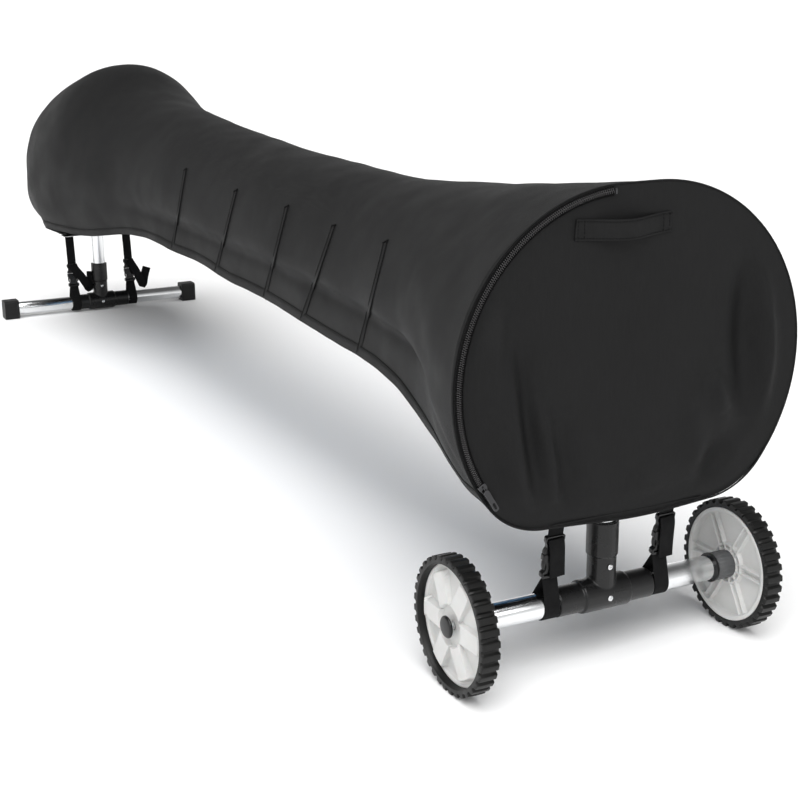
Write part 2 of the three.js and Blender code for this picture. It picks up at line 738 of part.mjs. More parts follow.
function strapSet({ name, x, y, axisHeight, holeRadius, anchorX, anchorZ }) {
  const [run, rise] = [anchorX - x, anchorZ - axisHeight];
  const group = new THREE.Group();
  group.position.set(x, y, axisHeight);
  group.rotation.y = Math.atan2(run, rise);
  reel.add(group);
  part(name + "_strap_loop", strapLoop(holeRadius), webbingCloth(), group);
  part(name + "_buckle_socket", buckleHalf(buckle.foot, buckle.split, 0), buckleBlack(), group);
  part(name + "_buckle_prong", buckleHalf(buckle.split + gap, buckle.top, 6), buckleBlack(), group);
  part(name + "_upper_strap", upperStrap(Math.hypot(run, rise) - 1), webbingCloth(), group);
}

const slack = 0.4; // between a strap's loop and the tube inside it
const onTube = tubeRadius + slack;
const nearAnchor = { anchorX: nearX + flap.inset + 7, anchorZ: endPanel.bottom - gap };
const farAnchor = { anchorX: farX - flap.inset - 5, anchorZ: farPanelBottom - gap };
const near = { x: nearX, axisHeight: wheelRadius, holeRadius: onTube, ...nearAnchor };
const far = { x: farX, axisHeight: farFootAxis, ...farAnchor };

strapSet({ name: "near_left", y: -95, ...near });
strapSet({ name: "near_right", y: 95, ...near });
strapSet({ name: "far_left", y: -78, holeRadius: tee.armRadius + slack, ...far });
strapSet({ name: "far_right", y: 95, holeRadius: onTube, ...far });

export default reel;
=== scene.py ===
"""Pool cover reel in its storage sleeve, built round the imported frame. Metres, +Z up, wheels at +X."""

import math
from contextlib import contextmanager

import bmesh
import bpy
import numpy as np
from mathutils import Matrix, Vector, noise


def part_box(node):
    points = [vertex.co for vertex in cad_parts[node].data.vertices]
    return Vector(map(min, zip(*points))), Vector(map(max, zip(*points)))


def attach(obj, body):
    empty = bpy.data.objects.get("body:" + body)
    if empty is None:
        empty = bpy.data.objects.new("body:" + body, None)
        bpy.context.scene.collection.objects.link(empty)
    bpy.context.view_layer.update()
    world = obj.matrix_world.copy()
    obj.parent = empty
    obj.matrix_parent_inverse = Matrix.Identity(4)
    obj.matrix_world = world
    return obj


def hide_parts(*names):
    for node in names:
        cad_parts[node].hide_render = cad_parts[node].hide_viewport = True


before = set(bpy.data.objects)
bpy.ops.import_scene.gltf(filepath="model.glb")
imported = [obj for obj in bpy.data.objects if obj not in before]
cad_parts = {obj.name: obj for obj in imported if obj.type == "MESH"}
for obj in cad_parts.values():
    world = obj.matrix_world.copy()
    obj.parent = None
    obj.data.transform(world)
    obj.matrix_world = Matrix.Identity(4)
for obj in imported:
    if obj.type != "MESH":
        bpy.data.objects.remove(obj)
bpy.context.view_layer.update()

MM = 0.001


# ---------- places, from the frame ----------
def centre_of(node):
    low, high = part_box(node)
    return (low + high) / 2


near_x = centre_of("near_post").x
far_x = centre_of("far_post").x
reel_z = centre_of("near_bearing_bush").z
wheel_z = centre_of("near_axle_tube").z
far_foot_z = centre_of("far_foot_tube").z
sleeve_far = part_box("cover_sleeve")[0].x
sleeve_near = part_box("cover_sleeve")[1].x
panel_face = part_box("near_end_panel")[1].x
far_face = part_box("far_end_panel")[0].x


# ---------- camera, floor and light ----------
def add_object(name, data):
    made = bpy.data.objects.new(name, data)
    bpy.context.scene.collection.objects.link(made)
    return made


def add_camera():
    """A 65 mm camera in front of the wheeled end, a little above the sleeve."""
    azimuth, elevation, roll = (math.radians(angle) for angle in (63.11, 16.28, -0.32))
    data = bpy.data.cameras.new("camera")
    data.lens = 65.29
    data.sensor_width = 36
    data.clip_end = 500
    turn = Matrix.Rotation(azimuth, 4, "Z") @ Matrix.Rotation(math.pi / 2 - elevation, 4, "X")
    camera = add_object("camera", data)
    camera.matrix_world = Matrix.Translation((2.906, -1.141, 0.9625)) @ turn @ Matrix.Rotation(roll, 4, "Z")
    bpy.context.scene.camera = camera


def add_light(name, kind, place, target, **settings):
    """A light at place that shines towards target; of a sun's place only the direction counts."""
    data = bpy.data.lights.new(name, kind)
    for key, value in settings.items():
        setattr(data, key, value)
    light = add_object(name, data)
    light.location = place
    light.rotation_euler = (Vector(target) - Vector(place)).to_track_quat("-Z", "Y").to_euler()


def add_floor():
    bpy.ops.mesh.primitive_plane_add(size=160)
    floor = bpy.context.object
    floor.name = "floor"
    surface = Surface("floor_paint", {"Base Color": (0.93, 0.93, 0.93, 1), "Roughness": 0.7})
    floor.data.materials.append(surface.material)


def add_sky():
    """A pale studio: white near the horizon, darker overhead between the softboxes."""
    world = bpy.data.worlds.new("studio")
    bpy.context.scene.world = world
    world.use_nodes = True
    tree = world.node_tree
    background = tree.nodes["Background"]
    sky_place = tree.nodes.new("ShaderNodeTexCoord")
    split = tree.nodes.new("ShaderNodeSeparateXYZ")
    ramp = tree.nodes.new("ShaderNodeValToRGB")
    for stop, place, level in zip(ramp.color_ramp.elements, (0.05, 0.75), (0.85, 0.10)):
        stop.position = place
        stop.color = (level, level, level, 1)
    tree.links.new(sky_place.outputs["Generated"], split.inputs[0])
    tree.links.new(split.outputs["Z"], ramp.inputs[0])
    tree.links.new(ramp.outputs[0], background.inputs["Color"])
    background.inputs["Strength"].default_value = 1.1


# ---------- material kit ----------
class Surface:
    """A Principled material with short calls for the nodes that the materials here share."""

    def __init__(self, name, values):
        self.material = bpy.data.materials.new(name)
        self.material.use_nodes = True
        self.tree = self.material.node_tree
        self.shader = self.tree.nodes["Principled BSDF"]
        for socket, value in values.items():
            self.shader.inputs[socket].default_value = value
        self.place = self.node("ShaderNodeTexCoord").outputs["Object"]

    def node(self, kind, inputs={}, **settings):
        made = self.tree.nodes.new(kind)
        for key, value in settings.items():
            setattr(made, key, value)
        for key, value in inputs.items():
            made.inputs[key].default_value = value
        return made

    def link(self, source, target):
        self.tree.links.new(source, target)

    def math(self, operation, first, second=0.0, third=0.0):
        made = self.node("ShaderNodeMath", operation=operation)
        for socket, value in zip(made.inputs, (first, second, third)):
            if isinstance(value, bpy.types.NodeSocket):
                self.link(value, socket)
            else:
                socket.default_value = value
        return made.outputs[0]

    def stretched(self, scale):
        """The object's coordinates, scaled separately along each axis."""
        mapping = self.node("ShaderNodeMapping", {"Scale": scale})
        self.link(self.place, mapping.inputs["Vector"])
        return mapping.outputs[0]

    def noise(self, scale, detail=2.0, roughness=0.5, stretch=(1, 1, 1)):
        inputs = {"Scale": scale, "Detail": detail, "Roughness": roughness}
        made = self.node("ShaderNodeTexNoise", inputs)
        self.link(self.stretched(stretch), made.inputs["Vector"])
        return made.outputs[0]

    def ranged(self, source, low, high, from_low=0.3, from_high=0.7):
        inputs = {"From Min": from_low, "From Max": from_high, "To Min": low, "To Max": high}
        made = self.node("ShaderNodeMapRange", inputs)
        self.link(source, made.inputs["Value"])
        return made.outputs[0]

    def colour_between(self, factor, first, second):
        mix = self.node("ShaderNodeMix", data_type="RGBA")
        self.link(factor, mix.inputs[0])
        mix.inputs[6].default_value = (*first, 1)
        mix.inputs[7].default_value = (*second, 1)
        self.link(mix.outputs[2], self.shader.inputs["Base Color"])

    def roughness_from(self, factor, low, high):
        self.link(self.ranged(factor, low, high), self.shader.inputs["Roughness"])

    def bump(self, height, distance, strength=1.0):
        made = self.node("ShaderNodeBump", {"Distance": distance, "Strength": strength})
        self.link(height, made.inputs["Height"])
        before = self.shader.inputs["Normal"].links
        if before:
            self.link(before[0].from_socket, made.inputs["Normal"])
        self.link(made.outputs[0], self.shader.inputs["Normal"])

    def weave(self, pitch):
        """Height of a plain weave whose threads run along the two axes that lie in the surface."""
        split = self.node("ShaderNodeSeparateXYZ")
        self.link(self.place, split.inputs[0])
        waves = []
        for axis in range(3):
            phase = self.math("MULTIPLY", split.outputs[axis], 2 * math.pi / pitch)
            waves.append(self.math("SINE", phase))
        facing = self.node("ShaderNodeSeparateXYZ")
        self.link(self.node("ShaderNodeTexCoord").outputs["Normal"], facing.inputs[0])
        total = None
        for axis in range(3):
            first, second = [waves[other] for other in range(3) if other != axis]
            crossing = self.math("MULTIPLY", first, second)
            share = self.math("ABSOLUTE", facing.outputs[axis])
            term = self.math("MULTIPLY", crossing, share)
            total = term if total is None else self.math("ADD", total, term)
        return total


# ---------- materials ----------
def oxford_cloth():
    """Coated black polyester: plain weave, uneven threads, faint handling marks."""
    surface = Surface("oxford_cloth", {"Specular IOR Level": 0.13})
    along = surface.noise(900, 2, stretch=(0.04, 1, 1))
    upward = surface.noise(900, 2, stretch=(1, 1, 0.04))
    patches = surface.noise(7, 3, 0.6)
    threads = surface.math("ADD", along, upward)
    mottle = surface.math("MULTIPLY_ADD", patches, 0.7, surface.math("MULTIPLY", threads, 0.65))
    surface.colour_between(
        surface.ranged(mottle, 0, 1, 0.75, 1.25), (0.0055, 0.0055, 0.0056), (0.0100, 0.0100, 0.0102)
    )
    surface.roughness_from(patches, 0.5, 0.66)
    surface.bump(surface.weave(1.5 * MM), 0.12 * MM, 0.7)
    surface.bump(surface.noise(160, 3, 0.6), 0.5 * MM, 0.35)
    return surface.material


def webbing():
    surface = Surface("webbing", {"Specular IOR Level": 0.15})
    surface.colour_between(surface.noise(500, 2), (0.003, 0.003, 0.0032), (0.008, 0.008, 0.0085))
    surface.bump(surface.weave(2.2 * MM), 0.35 * MM)
    surface.roughness_from(surface.noise(40, 2), 0.7, 0.9)
    return surface.material


def thread():
    surface = Surface("thread", {"Specular IOR Level": 0.08, "Roughness": 0.6})
    surface.colour_between(surface.noise(900, 1), (0.001, 0.001, 0.001), (0.003, 0.003, 0.003))
    surface.bump(surface.noise(2500, 1), 0.1 * MM)
    return surface.material


def moulded(name, dark, light, rough_low, rough_high, grain=0.04, gloss=0.35):
    """Injection-moulded plastic or rubber: fine mould grain and slow changes of gloss."""
    surface = Surface(name, {"Specular IOR Level": gloss})
    surface.colour_between(surface.noise(35, 4, 0.6), dark, light)
    surface.roughness_from(surface.noise(22, 4, 0.6), rough_low, rough_high)
    surface.bump(surface.noise(1800, 2), grain * MM, 0.6)
    surface.bump(surface.noise(90, 2), 0.25 * MM, 0.2)
    return surface.material


def white_plastic():
    surface = Surface("white_plastic", {"Subsurface Weight": 0.05, "Subsurface Scale": 0.002})
    surface.colour_between(surface.noise(28, 5, 0.65), (0.50, 0.50, 0.49), (0.60, 0.60, 0.59))
    surface.roughness_from(surface.noise(30, 4, 0.6), 0.28, 0.45)
    surface.bump(surface.noise(120, 3), 0.2 * MM, 0.3)
    return surface.material


def drawn_metal(name, colour, along, rough_low, rough_high):
    """Metal drawn or brushed along one axis, with long fine scratches and faint smudges."""
    surface = Surface(name, {"Metallic": 1.0})
    stretch = [1, 1, 1]
    stretch["XYZ".index(along)] = 0.02
    scratches = surface.noise(1400, 3, 0.6, stretch)
    smudges = surface.noise(18, 4, 0.65)
    mixed = surface.math("MULTIPLY_ADD", scratches, 0.5, surface.math("MULTIPLY", smudges, 0.5))
    darker = tuple(0.88 * part for part in colour)
    surface.colour_between(surface.ranged(smudges, 0, 1), darker, colour)
    surface.roughness_from(mixed, rough_low, rough_high)
    surface.bump(scratches, 0.02 * MM, 0.5)
    return surface.material


def bubble_film():
    """Blue pool blanket: round bubbles about 10 mm apart under a glossy film."""
    surface = Surface("bubble_film", {"Coat Weight": 0.5, "Coat Roughness": 0.15, "Roughness": 0.35})
    cells = surface.node("ShaderNodeTexVoronoi", {"Scale": 95, "Randomness": 0.15})
    surface.link(surface.place, cells.inputs["Vector"])
    dome = surface.ranged(cells.outputs["Distance"], 1, 0, 0.1, 0.5)
    surface.colour_between(dome, (0.02, 0.10, 0.22), (0.05, 0.20, 0.36))
    surface.bump(dome, 1.5 * MM, 0.8)
    surface.roughness_from(surface.noise(20, 3), 0.25, 0.45)
    return surface.material


# Darkest and lightest colour, lowest and highest roughness; then grain in millimetres, and gloss.
MOULDED = {
    "black_plastic": ((0.004, 0.004, 0.0042), (0.009, 0.009, 0.0093), 0.22, 0.36),
    "buckle_plastic": ((0.003, 0.003, 0.0032), (0.007, 0.007, 0.0073), 0.2, 0.35),
    "bush_plastic": ((0.06, 0.061, 0.063), (0.11, 0.112, 0.115), 0.3, 0.45),
    "tyre_rubber": ((0.003, 0.003, 0.003), (0.009, 0.009, 0.0085), 0.34, 0.5, 0.1, 0.25),
    "cap_rubber": ((0.004, 0.004, 0.0042), (0.009, 0.009, 0.0095), 0.45, 0.6, 0.1, 0.25),
    "zip_nylon": ((0.004, 0.0035, 0.004), (0.010, 0.008, 0.009), 0.2, 0.32, 0.04, 0.6),
}
# Colour, the axis it is drawn along, lowest and highest roughness.
METALS = {
    "tube_across": ((0.86, 0.87, 0.88), "Y", 0.10, 0.2),
    "tube_upright": ((0.86, 0.87, 0.88), "Z", 0.10, 0.2),
    "tube_long": ((0.80, 0.81, 0.82), "X", 0.2, 0.34),
    "steel": ((0.72, 0.73, 0.74), "X", 0.18, 0.32),
    "zip_metal": ((0.06, 0.06, 0.062), "Z", 0.18, 0.3),
}


def make_materials():
    made = {kind.__name__: kind() for kind in (oxford_cloth, webbing, thread, white_plastic, bubble_film)}
    for name, values in MOULDED.items():
        made[name] = moulded(name, *values)
    for name, values in METALS.items():
        made[name] = drawn_metal(name, *values)
    return made


# ---------- mesh kit ----------
@contextmanager
def editing(mesh):
    """A bmesh of the mesh, written back to it at the end."""
    shape = bmesh.new()
    shape.from_mesh(mesh)
    yield shape
    shape.to_mesh(mesh)
    shape.free()


def new_piece(name, points, faces, material, smooth_angle=None):
    mesh = bpy.data.meshes.new(name)
    mesh.from_pydata(np.asarray(points).tolist(), [], [list(face) for face in faces])
    mesh.validate()
    mesh.update()
    piece = add_object(name, mesh)
    mesh.materials.append(materials[material])
    shade(mesh, smooth_angle)
    return piece


def shade(mesh, smooth_angle=None):
    """Smooth shading, with edges sharper than smooth_angle degrees kept crisp."""
    mesh.shade_smooth()
    if smooth_angle is not None:
        mesh.set_sharp_from_angle(angle=math.radians(smooth_angle))


def settle(piece, *modifiers, smooth_angle=None):
    """Adds each (kind, settings) modifier in turn and makes the result the piece's own mesh."""
    for kind, settings in modifiers:
        modifier = piece.modifiers.new(kind.lower(), kind)
        for key, value in settings.items():
            setattr(modifier, key, value)
    bpy.context.view_layer.update()
    evaluated = piece.evaluated_get(bpy.context.evaluated_depsgraph_get())
    mesh = bpy.data.meshes.new_from_object(evaluated)
    piece.modifiers.clear()
    piece.data = mesh
    shade(mesh, smooth_angle)
    return piece


def bevel(width, segments=3):
    settings = {"width": width, "segments": segments, "limit_method": "ANGLE", "use_clamp_overlap": True}
    return ("BEVEL", {**settings, "angle_limit": math.radians(30)})


def thicken(thickness, offset=-1.0):
    return ("SOLIDIFY", {"thickness": thickness, "offset": offset})


def place_piece(piece, body, slot, *nodes, at=None):
    """Moves a piece's mesh by the matrix at, then ties it to its body and hides the CAD nodes that it stands
    in for. The slot is not used.
    """
    if at:
        piece.data.transform(at)
    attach(piece, body)
    if nodes:
        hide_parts(*nodes)
    return piece


def grid_faces(rows, columns, wrap_rows=False, wrap_columns=False):
    index = np.arange(rows * columns).reshape(rows, columns)
    if wrap_rows:
        index = np.vstack([index, index[:1]])
    if wrap_columns:
        index = np.hstack([index, index[:, :1]])
    corners = (index[:-1, :-1], index[1:, :-1], index[1:, 1:], index[:-1, 1:])
    return np.stack(corners, axis=-1).reshape(-1, 4)


def grid_piece(name, points, material, wrap_rows=False, wrap_columns=False, smooth_angle=None):
    faces = grid_faces(*points.shape[:2], wrap_rows, wrap_columns)
    return new_piece(name, points.reshape(-1, 3), faces, material, smooth_angle)


def closed_piece(name, points, material, smooth_angle=None):
    """A grid of points that closes on itself both ways, such as a ring."""
    piece = grid_piece(name, points, material, True, True, smooth_angle)
    return outward(piece)


AXES = {
    "X": Matrix(((0, 0, 1), (1, 0, 0), (0, 1, 0))),
    "Y": Matrix(((1, 0, 0), (0, 0, 1), (0, -1, 0))),
    "Z": Matrix(((1, 0, 0), (0, 1, 0), (0, 0, 1))),
}


def lathe_piece(name, profile, axis, centre, material, segments=72, edge=0.5 * MM):
    """A closed profile of (radius, along) turned about an axis through centre.

    A profile that starts and ends on the axis is closed there by a cap of triangles.
    """
    radius, along = np.array(profile, float).T
    angle = np.linspace(0, 2 * math.pi, segments, endpoint=False)
    ones = np.ones(segments)
    turned = [np.outer(np.cos(angle), radius), np.outer(np.sin(angle), radius), np.outer(ones, along)]
    points = np.stack(turned, axis=-1) @ np.array(AXES[axis]).T + np.array(centre)
    if radius[0] > 0:
        piece = grid_piece(name, points, material, True, True)
    else:
        ring = points[:, 1:-1]
        count = ring.shape[1]
        faces = grid_faces(segments, count, wrap_rows=True).tolist()
        start = segments * count
        for here in range(0, start, count):
            there = (here + count) % start
            faces.append([start, there, here])
            faces.append([start + 1, here + count - 1, there + count - 1])
        flat = np.vstack([ring.reshape(-1, 3), points[0, 0], points[0, -1]])
        piece = new_piece(name, flat, faces, material)
    return settle(outward(piece), bevel(edge), smooth_angle=38)


def outward(piece):
    """Turns every face of a closed mesh to look outwards."""
    with editing(piece.data) as shape:
        bmesh.ops.recalc_face_normals(shape, faces=shape.faces)
    return piece


def join_pieces(name, parts, smooth_angle=None):
    """One piece from several of the same material."""
    mesh = bpy.data.meshes.new(name)
    mesh.materials.append(parts[0].data.materials[0])
    with editing(mesh) as shape:
        for part in parts:
            shape.from_mesh(part.data)
    for part in parts:
        bpy.data.objects.remove(part)
    piece = add_object(name, mesh)
    shade(mesh, smooth_angle)
    return piece


def even_line(points, count, closed=False):
    """The same line as count points at equal steps along it."""
    points = np.asarray(points, float)
    if closed:
        points = np.vstack([points, points[:1]])
    steps = np.linalg.norm(np.diff(points, axis=0), axis=1)
    along = np.concatenate([[0], np.cumsum(steps)])
    wanted = np.linspace(0, along[-1], count, endpoint=not closed)
    return np.stack([np.interp(wanted, along, points[:, axis]) for axis in range(points.shape[1])], 1)


def line_frames(points, closed=False):
    """Unit directions along a line of points."""
    if closed:
        ahead = np.roll(points, -1, axis=0) - np.roll(points, 1, axis=0)
    else:
        ahead = np.gradient(points, axis=0)
    return ahead / np.linalg.norm(ahead, axis=1, keepdims=True)


def sweep_piece(name, line, out, section, material, closed=False):
    """A section of (across, outward) points swept along a line; out is the outward direction there."""
    line = np.asarray(line, float)
    along = line_frames(line, closed)
    out = np.broadcast_to(np.asarray(out, float), line.shape)
    out = out - along * np.sum(along * out, axis=1, keepdims=True)
    out = out / np.linalg.norm(out, axis=1, keepdims=True)
    across = np.cross(out, along)
    section = np.asarray(section, float)
    points = line[:, None] + across[:, None] * section[:, :1] + out[:, None] * section[:, 1:]
    rows, columns = points.shape[:2]
    faces = grid_faces(rows, columns, wrap_rows=closed, wrap_columns=True).tolist()
    if not closed:
        faces.append(list(range(columns)))
        faces.append([(rows - 1) * columns + step for step in reversed(range(columns))])
    return outward(new_piece(name, points.reshape(-1, 3), faces, material))


def rounded_box_outline(width, height, corner, centre=(0.0, 0.0), steps=5):
    """A rectangle with round corners as (y, z) points round a centre."""
    points = []
    for quarter, (side, level) in enumerate(((1, 1), (-1, 1), (-1, -1), (1, -1))):
        for step in range(steps + 1):
            angle = (quarter + step / steps) * math.pi / 2
            y = centre[0] + side * (width / 2 - corner) + corner * math.cos(angle)
            z = centre[1] + level * (height / 2 - corner) + corner * math.sin(angle)
            points.append((y, z))
    return points


def flat_section(width, thickness, corner, steps=3):
    """Rounded rectangle as (across, outward) points, with its lower face at outward 0."""
    return rounded_box_outline(width, thickness, corner, (0, thickness / 2), steps)


def round_section(radius):
    angle = np.linspace(0, 2 * math.pi, 8, endpoint=False)
    return np.stack([radius * np.cos(angle), radius * np.sin(angle)], 1)


def stitch_row(line, out, pitch, length, width):
    """Points and faces of a row of stitches: short spindles that stand a little proud of the cloth."""
    line = np.asarray(line, float)
    total = np.linalg.norm(np.diff(line, axis=0), axis=1).sum()
    count = max(2, int(total / pitch))
    middles = even_line(line, count)
    outs = even_line(np.broadcast_to(np.asarray(out, float), line.shape), count)
    outs = outs / np.linalg.norm(outs, axis=1, keepdims=True)
    along = line_frames(middles)
    across = np.cross(outs, along)
    points = []
    for step, girth in ((-0.5, 0.25), (-0.32, 1), (0.32, 1), (0.5, 0.25)):
        size = girth * width / 2
        for turn in np.linspace(0, 2 * math.pi, 5, endpoint=False):
            offset = across * (math.cos(turn) * size) + outs * (math.sin(turn) * size * 0.8)
            points.append(middles + along * step * length + offset)
    points = np.stack(points, axis=1)
    tube = grid_faces(4, 5, wrap_columns=True).tolist() + [[4, 3, 2, 1, 0], [15, 16, 17, 18, 19]]
    faces = [[corner + base for corner in face] for base in range(0, count * 20, 20) for face in tube]
    return points.reshape(-1, 3), faces


def stitch_piece(name, rows):
    """All the stitch rows of the cover's cloth pieces, as one piece of thread."""
    points, faces, offset = [], [], 0
    for row_points, row_faces in rows:
        points.append(row_points)
        faces.extend([[corner + offset for corner in face] for face in row_faces])
        offset += len(row_points)
    piece = outward(new_piece(name, np.vstack(points), faces, "thread"))
    return place_piece(piece, "cover", "oxford_cloth")


def bump_profile(value, width):
    return np.exp(-0.5 * (value / width) ** 2)


def smooth_step(low, high, value):
    share = np.clip((value - low) / (high - low), 0, 1)
    return share * share * (3 - 2 * share)


def fold_height(first, second, folds):
    """Sum of soft ridges. Each fold is (points of its crest, width, height) in two coordinates."""
    total = np.zeros_like(first)
    for crest, width, height in folds:
        crest = even_line(np.array(crest, float), 9)
        away = np.full(first.shape, np.inf)
        share = np.zeros(first.shape)
        for step, (start, end) in enumerate(zip(crest[:-1], crest[1:])):
            run = end - start
            reach = ((first - start[0]) * run[0] + (second - start[1]) * run[1]) / (run @ run)
            reach = np.clip(reach, 0, 1)
            distance = np.hypot(first - start[0] - reach * run[0], second - start[1] - reach * run[1])
            closer = distance < away
            away = np.where(closer, distance, away)
            share = np.where(closer, (step + reach) / (len(crest) - 1), share)
        envelope = np.sin(np.pi * np.clip(share * 0.9 + 0.05, 0, 1)) ** 0.7
        total += height * envelope * bump_profile(away, width)
    return total


# ---------- sleeve ----------
# x, half width, height of the top, height of the hem, half width at the hem: millimetres.
STATIONS = np.array(
    [
        (sleeve_far / MM, 152, 606, 230, 100),
        (-1368, 174, 630, 232, 100),
        (-1310, 198, 656, 238, 102),
        (-1200, 224, 686, 264, 150),
        (-1060, 240, 722, 308, 216),
        (-920, 234, 742, 318, 210),
        (-750, 204, 696, 328, 180),
        (-500, 162, 666, 364, 140),
        (-150, 150, 644, 374, 132),
        (300, 150, 630, 366, 132),
        (700, 157, 634, 360, 138),
        (950, 183, 653, 350, 160),
        (1115, 216, 673, 312, 180),
        (1240, 250, 690, 287, 202),
        (sleeve_near / MM, 282, 704, 284, 222),
    ]
)
BELLY = 0.448  # height at which the sleeve is widest


def sleeve_measures(x):
    """Half width, top, hem and hem half width at x, by cubic pieces that follow the stations."""
    stations = STATIONS * MM
    last = len(stations) - 2
    i = int(np.clip(np.searchsorted(stations[:, 0], x, side="right") - 1, 0, last))
    a, b = stations[i], stations[i + 1]
    slope = (b - a) / (b[0] - a[0])
    before = (b - stations[i - 1]) / (b[0] - stations[i - 1][0]) if i > 0 else slope
    after = (stations[i + 2] - a) / (stations[i + 2][0] - a[0]) if i < last else slope
    span = b[0] - a[0]
    t = (x - a[0]) / span
    value = a + (b - a) * t * t * (3 - 2 * t) + span * t * (1 - t) * (before * (1 - t) - after * t)
    return value[1:]


SIDE_FOLDS = [  # crests as (x, z), width, height: negative is a valley
    ([(960, 590), (1130, 540), (1300, 470)], 26 * MM, 6 * MM),
    ([(1010, 520), (1150, 470), (1320, 350)], 20 * MM, 5 * MM),
    ([(1090, 640), (1220, 610), (1340, 560)], 22 * MM, -4 * MM),
    ([(1180, 420), (1260, 380), (1320, 310)], 16 * MM, -5 * MM),
    ([(-520, 560), (-700, 500), (-950, 420)], 30 * MM, 5 * MM),
    ([(-640, 460), (-780, 420), (-980, 350)], 22 * MM, -6 * MM),
    ([(-900, 640), (-1080, 560), (-1230, 470)], 34 * MM, -4 * MM),
    ([(-1000, 480), (-1130, 420), (-1250, 330)], 24 * MM, 5 * MM),
    ([(-1240, 600), (-1290, 500), (-1320, 380)], 20 * MM, -4 * MM),
]


def in_metres(folds):
    return [([(u * MM, v * MM) for u, v in crest], width, height) for crest, width, height in folds]


SIDE_FOLDS = in_metres(SIDE_FOLDS)


def crease_height(x, z, taper, drop):
    """The long crease below the roll: the side steps in there instead of easing in towards the hem."""
    line = np.interp(x, np.array((-600, 300, 1240)) * MM, np.array((442, 446, 440)) * MM)
    fade = smooth_step(-0.66, -0.2, x) * (1 - smooth_step(1.0, 1.26, x))
    stepped = 1 - smooth_step(line - 19 * MM, line + 19 * MM, z)
    return fade * (taper * (drop**2.2 - stepped) - 8 * MM * bump_profile(z - line, 15 * MM))


def cloth_noise(points, wavelength, seed):
    return np.array([noise.noise(Vector(p) / wavelength + Vector((seed, 0, 0))) for p in points])


def sleeve_section(x, samples):
    """Outside of the sleeve at x as (y, z) points from the +Y hem over the top, with its outward normals."""
    half, top, hem, hem_half = sleeve_measures(x)
    drop = np.linspace(1, 0, 30)[:-1]
    roundness = 3.8 - 1.6 * smooth_step(-1.39, -1.0, x)
    side_y = half - (half - hem_half) * drop**roundness
    side_z = BELLY - (BELLY - hem) * drop
    angle = np.linspace(0, math.pi, 121)
    arch_y = half * np.sign(np.cos(angle)) * np.abs(np.cos(angle)) ** 0.95
    arch_z = BELLY + (top - BELLY) * np.sin(angle) ** 0.95
    y = np.concatenate([side_y, arch_y, -side_y[::-1]])
    z = np.concatenate([side_z, arch_z, side_z[::-1]])
    line = even_line(np.stack([y, z], 1), samples)
    along = line_frames(line)
    normal = np.stack([along[:, 1], -along[:, 0]], 1)
    return line, normal


def sleeve_rows(xs, samples=150):
    """Folded outside of the sleeve: points[x, round, 3] and outward normals in the section's plane."""
    lines, normals = zip(*[sleeve_section(x, samples) for x in xs])
    lines, normals = np.array(lines), np.array(normals)
    x = np.broadcast_to(np.asarray(xs)[:, None], lines.shape[:2])
    y, z = lines[..., 0], lines[..., 1]
    side = smooth_step(0.35, 0.75, np.abs(normals[..., 0]))
    half, _, hem, hem_half = np.array([sleeve_measures(value) for value in xs]).T[:, :, None]
    drop = np.clip((BELLY - z) / (BELLY - hem), 0, 1)
    lift = fold_height(x, z, SIDE_FOLDS) * side + crease_height(x, z, half - hem_half, drop)
    flat = np.stack([x.ravel(), y.ravel(), z.ravel()], 1)
    lift += 3.2 * MM * cloth_noise(flat * (0.6, 1, 1), 0.16, 3).reshape(x.shape)
    lift += 1.1 * MM * cloth_noise(flat * (0.8, 1, 1), 0.05, 11).reshape(x.shape)
    near_hem = bump_profile(z - z[:, :1], 0.05)
    lift += 2.0 * MM * near_hem * np.sin(x / 0.09 + 2 * np.sin(x / 0.31) + np.sign(y))
    ends = smooth_step(sleeve_far, sleeve_far + 0.05, x) * smooth_step(-sleeve_near, 0.03 - sleeve_near, -x)
    lift = lift * ends - 0.8 * MM
    points = np.stack([x, y + normals[..., 0] * lift, z + normals[..., 1] * lift], axis=-1)
    return points, normals


def sleeve_line(xs, side, lift=0.0, heights=None, above=None):
    """Points on the folded side at each x, and the outward directions there.

    Each is at its own height, or at one distance above the hem, measured round the sleeve.
    """
    line, outs = [], []
    for step, (row, normal) in enumerate(zip(*sleeve_rows(xs))):
        order = slice(0, len(row) // 2) if side > 0 else slice(len(row) - 1, len(row) // 2, -1)
        run, out = row[order], normal[order]
        lengths = np.linalg.norm(np.diff(run, axis=0), axis=1)
        known = run[:, 2] if above is None else np.concatenate([[0], np.cumsum(lengths)])
        wanted = heights[step] if above is None else above
        point = [np.interp(wanted, known, run[:, axis]) for axis in range(3)]
        if above is None:
            point[2] = wanted
        direction = (0, *[np.interp(wanted, known, out[:, axis]) for axis in range(2)])
        line.append(np.array(point) + np.array(direction) * lift)
        outs.append(direction)
    return np.array(line), np.array(outs)


def build_sleeve():
    xs = np.linspace(sleeve_far, sleeve_near, 271)
    points, _ = sleeve_rows(xs)
    sleeve = grid_piece("sleeve", points, "oxford_cloth")
    settle(sleeve, thicken(1.4 * MM, 1.0))
    return place_piece(sleeve, "cover", "oxford_cloth", "cover_sleeve")


# x and height of each dart's top, and x of its foot at the hem: millimetres.
DARTS = ((-125, 562, -208), (185, 555, 72), (440, 557, 336), (658, 554, 534), (898, 565, 790))
# The camera's place. Each dart is cut along a plane through it (mirrored at +Y), so the darts look
# straight from there, but bend at the crease in other views.
DART_POINT = np.array((2.9, -1.14, 0.96))


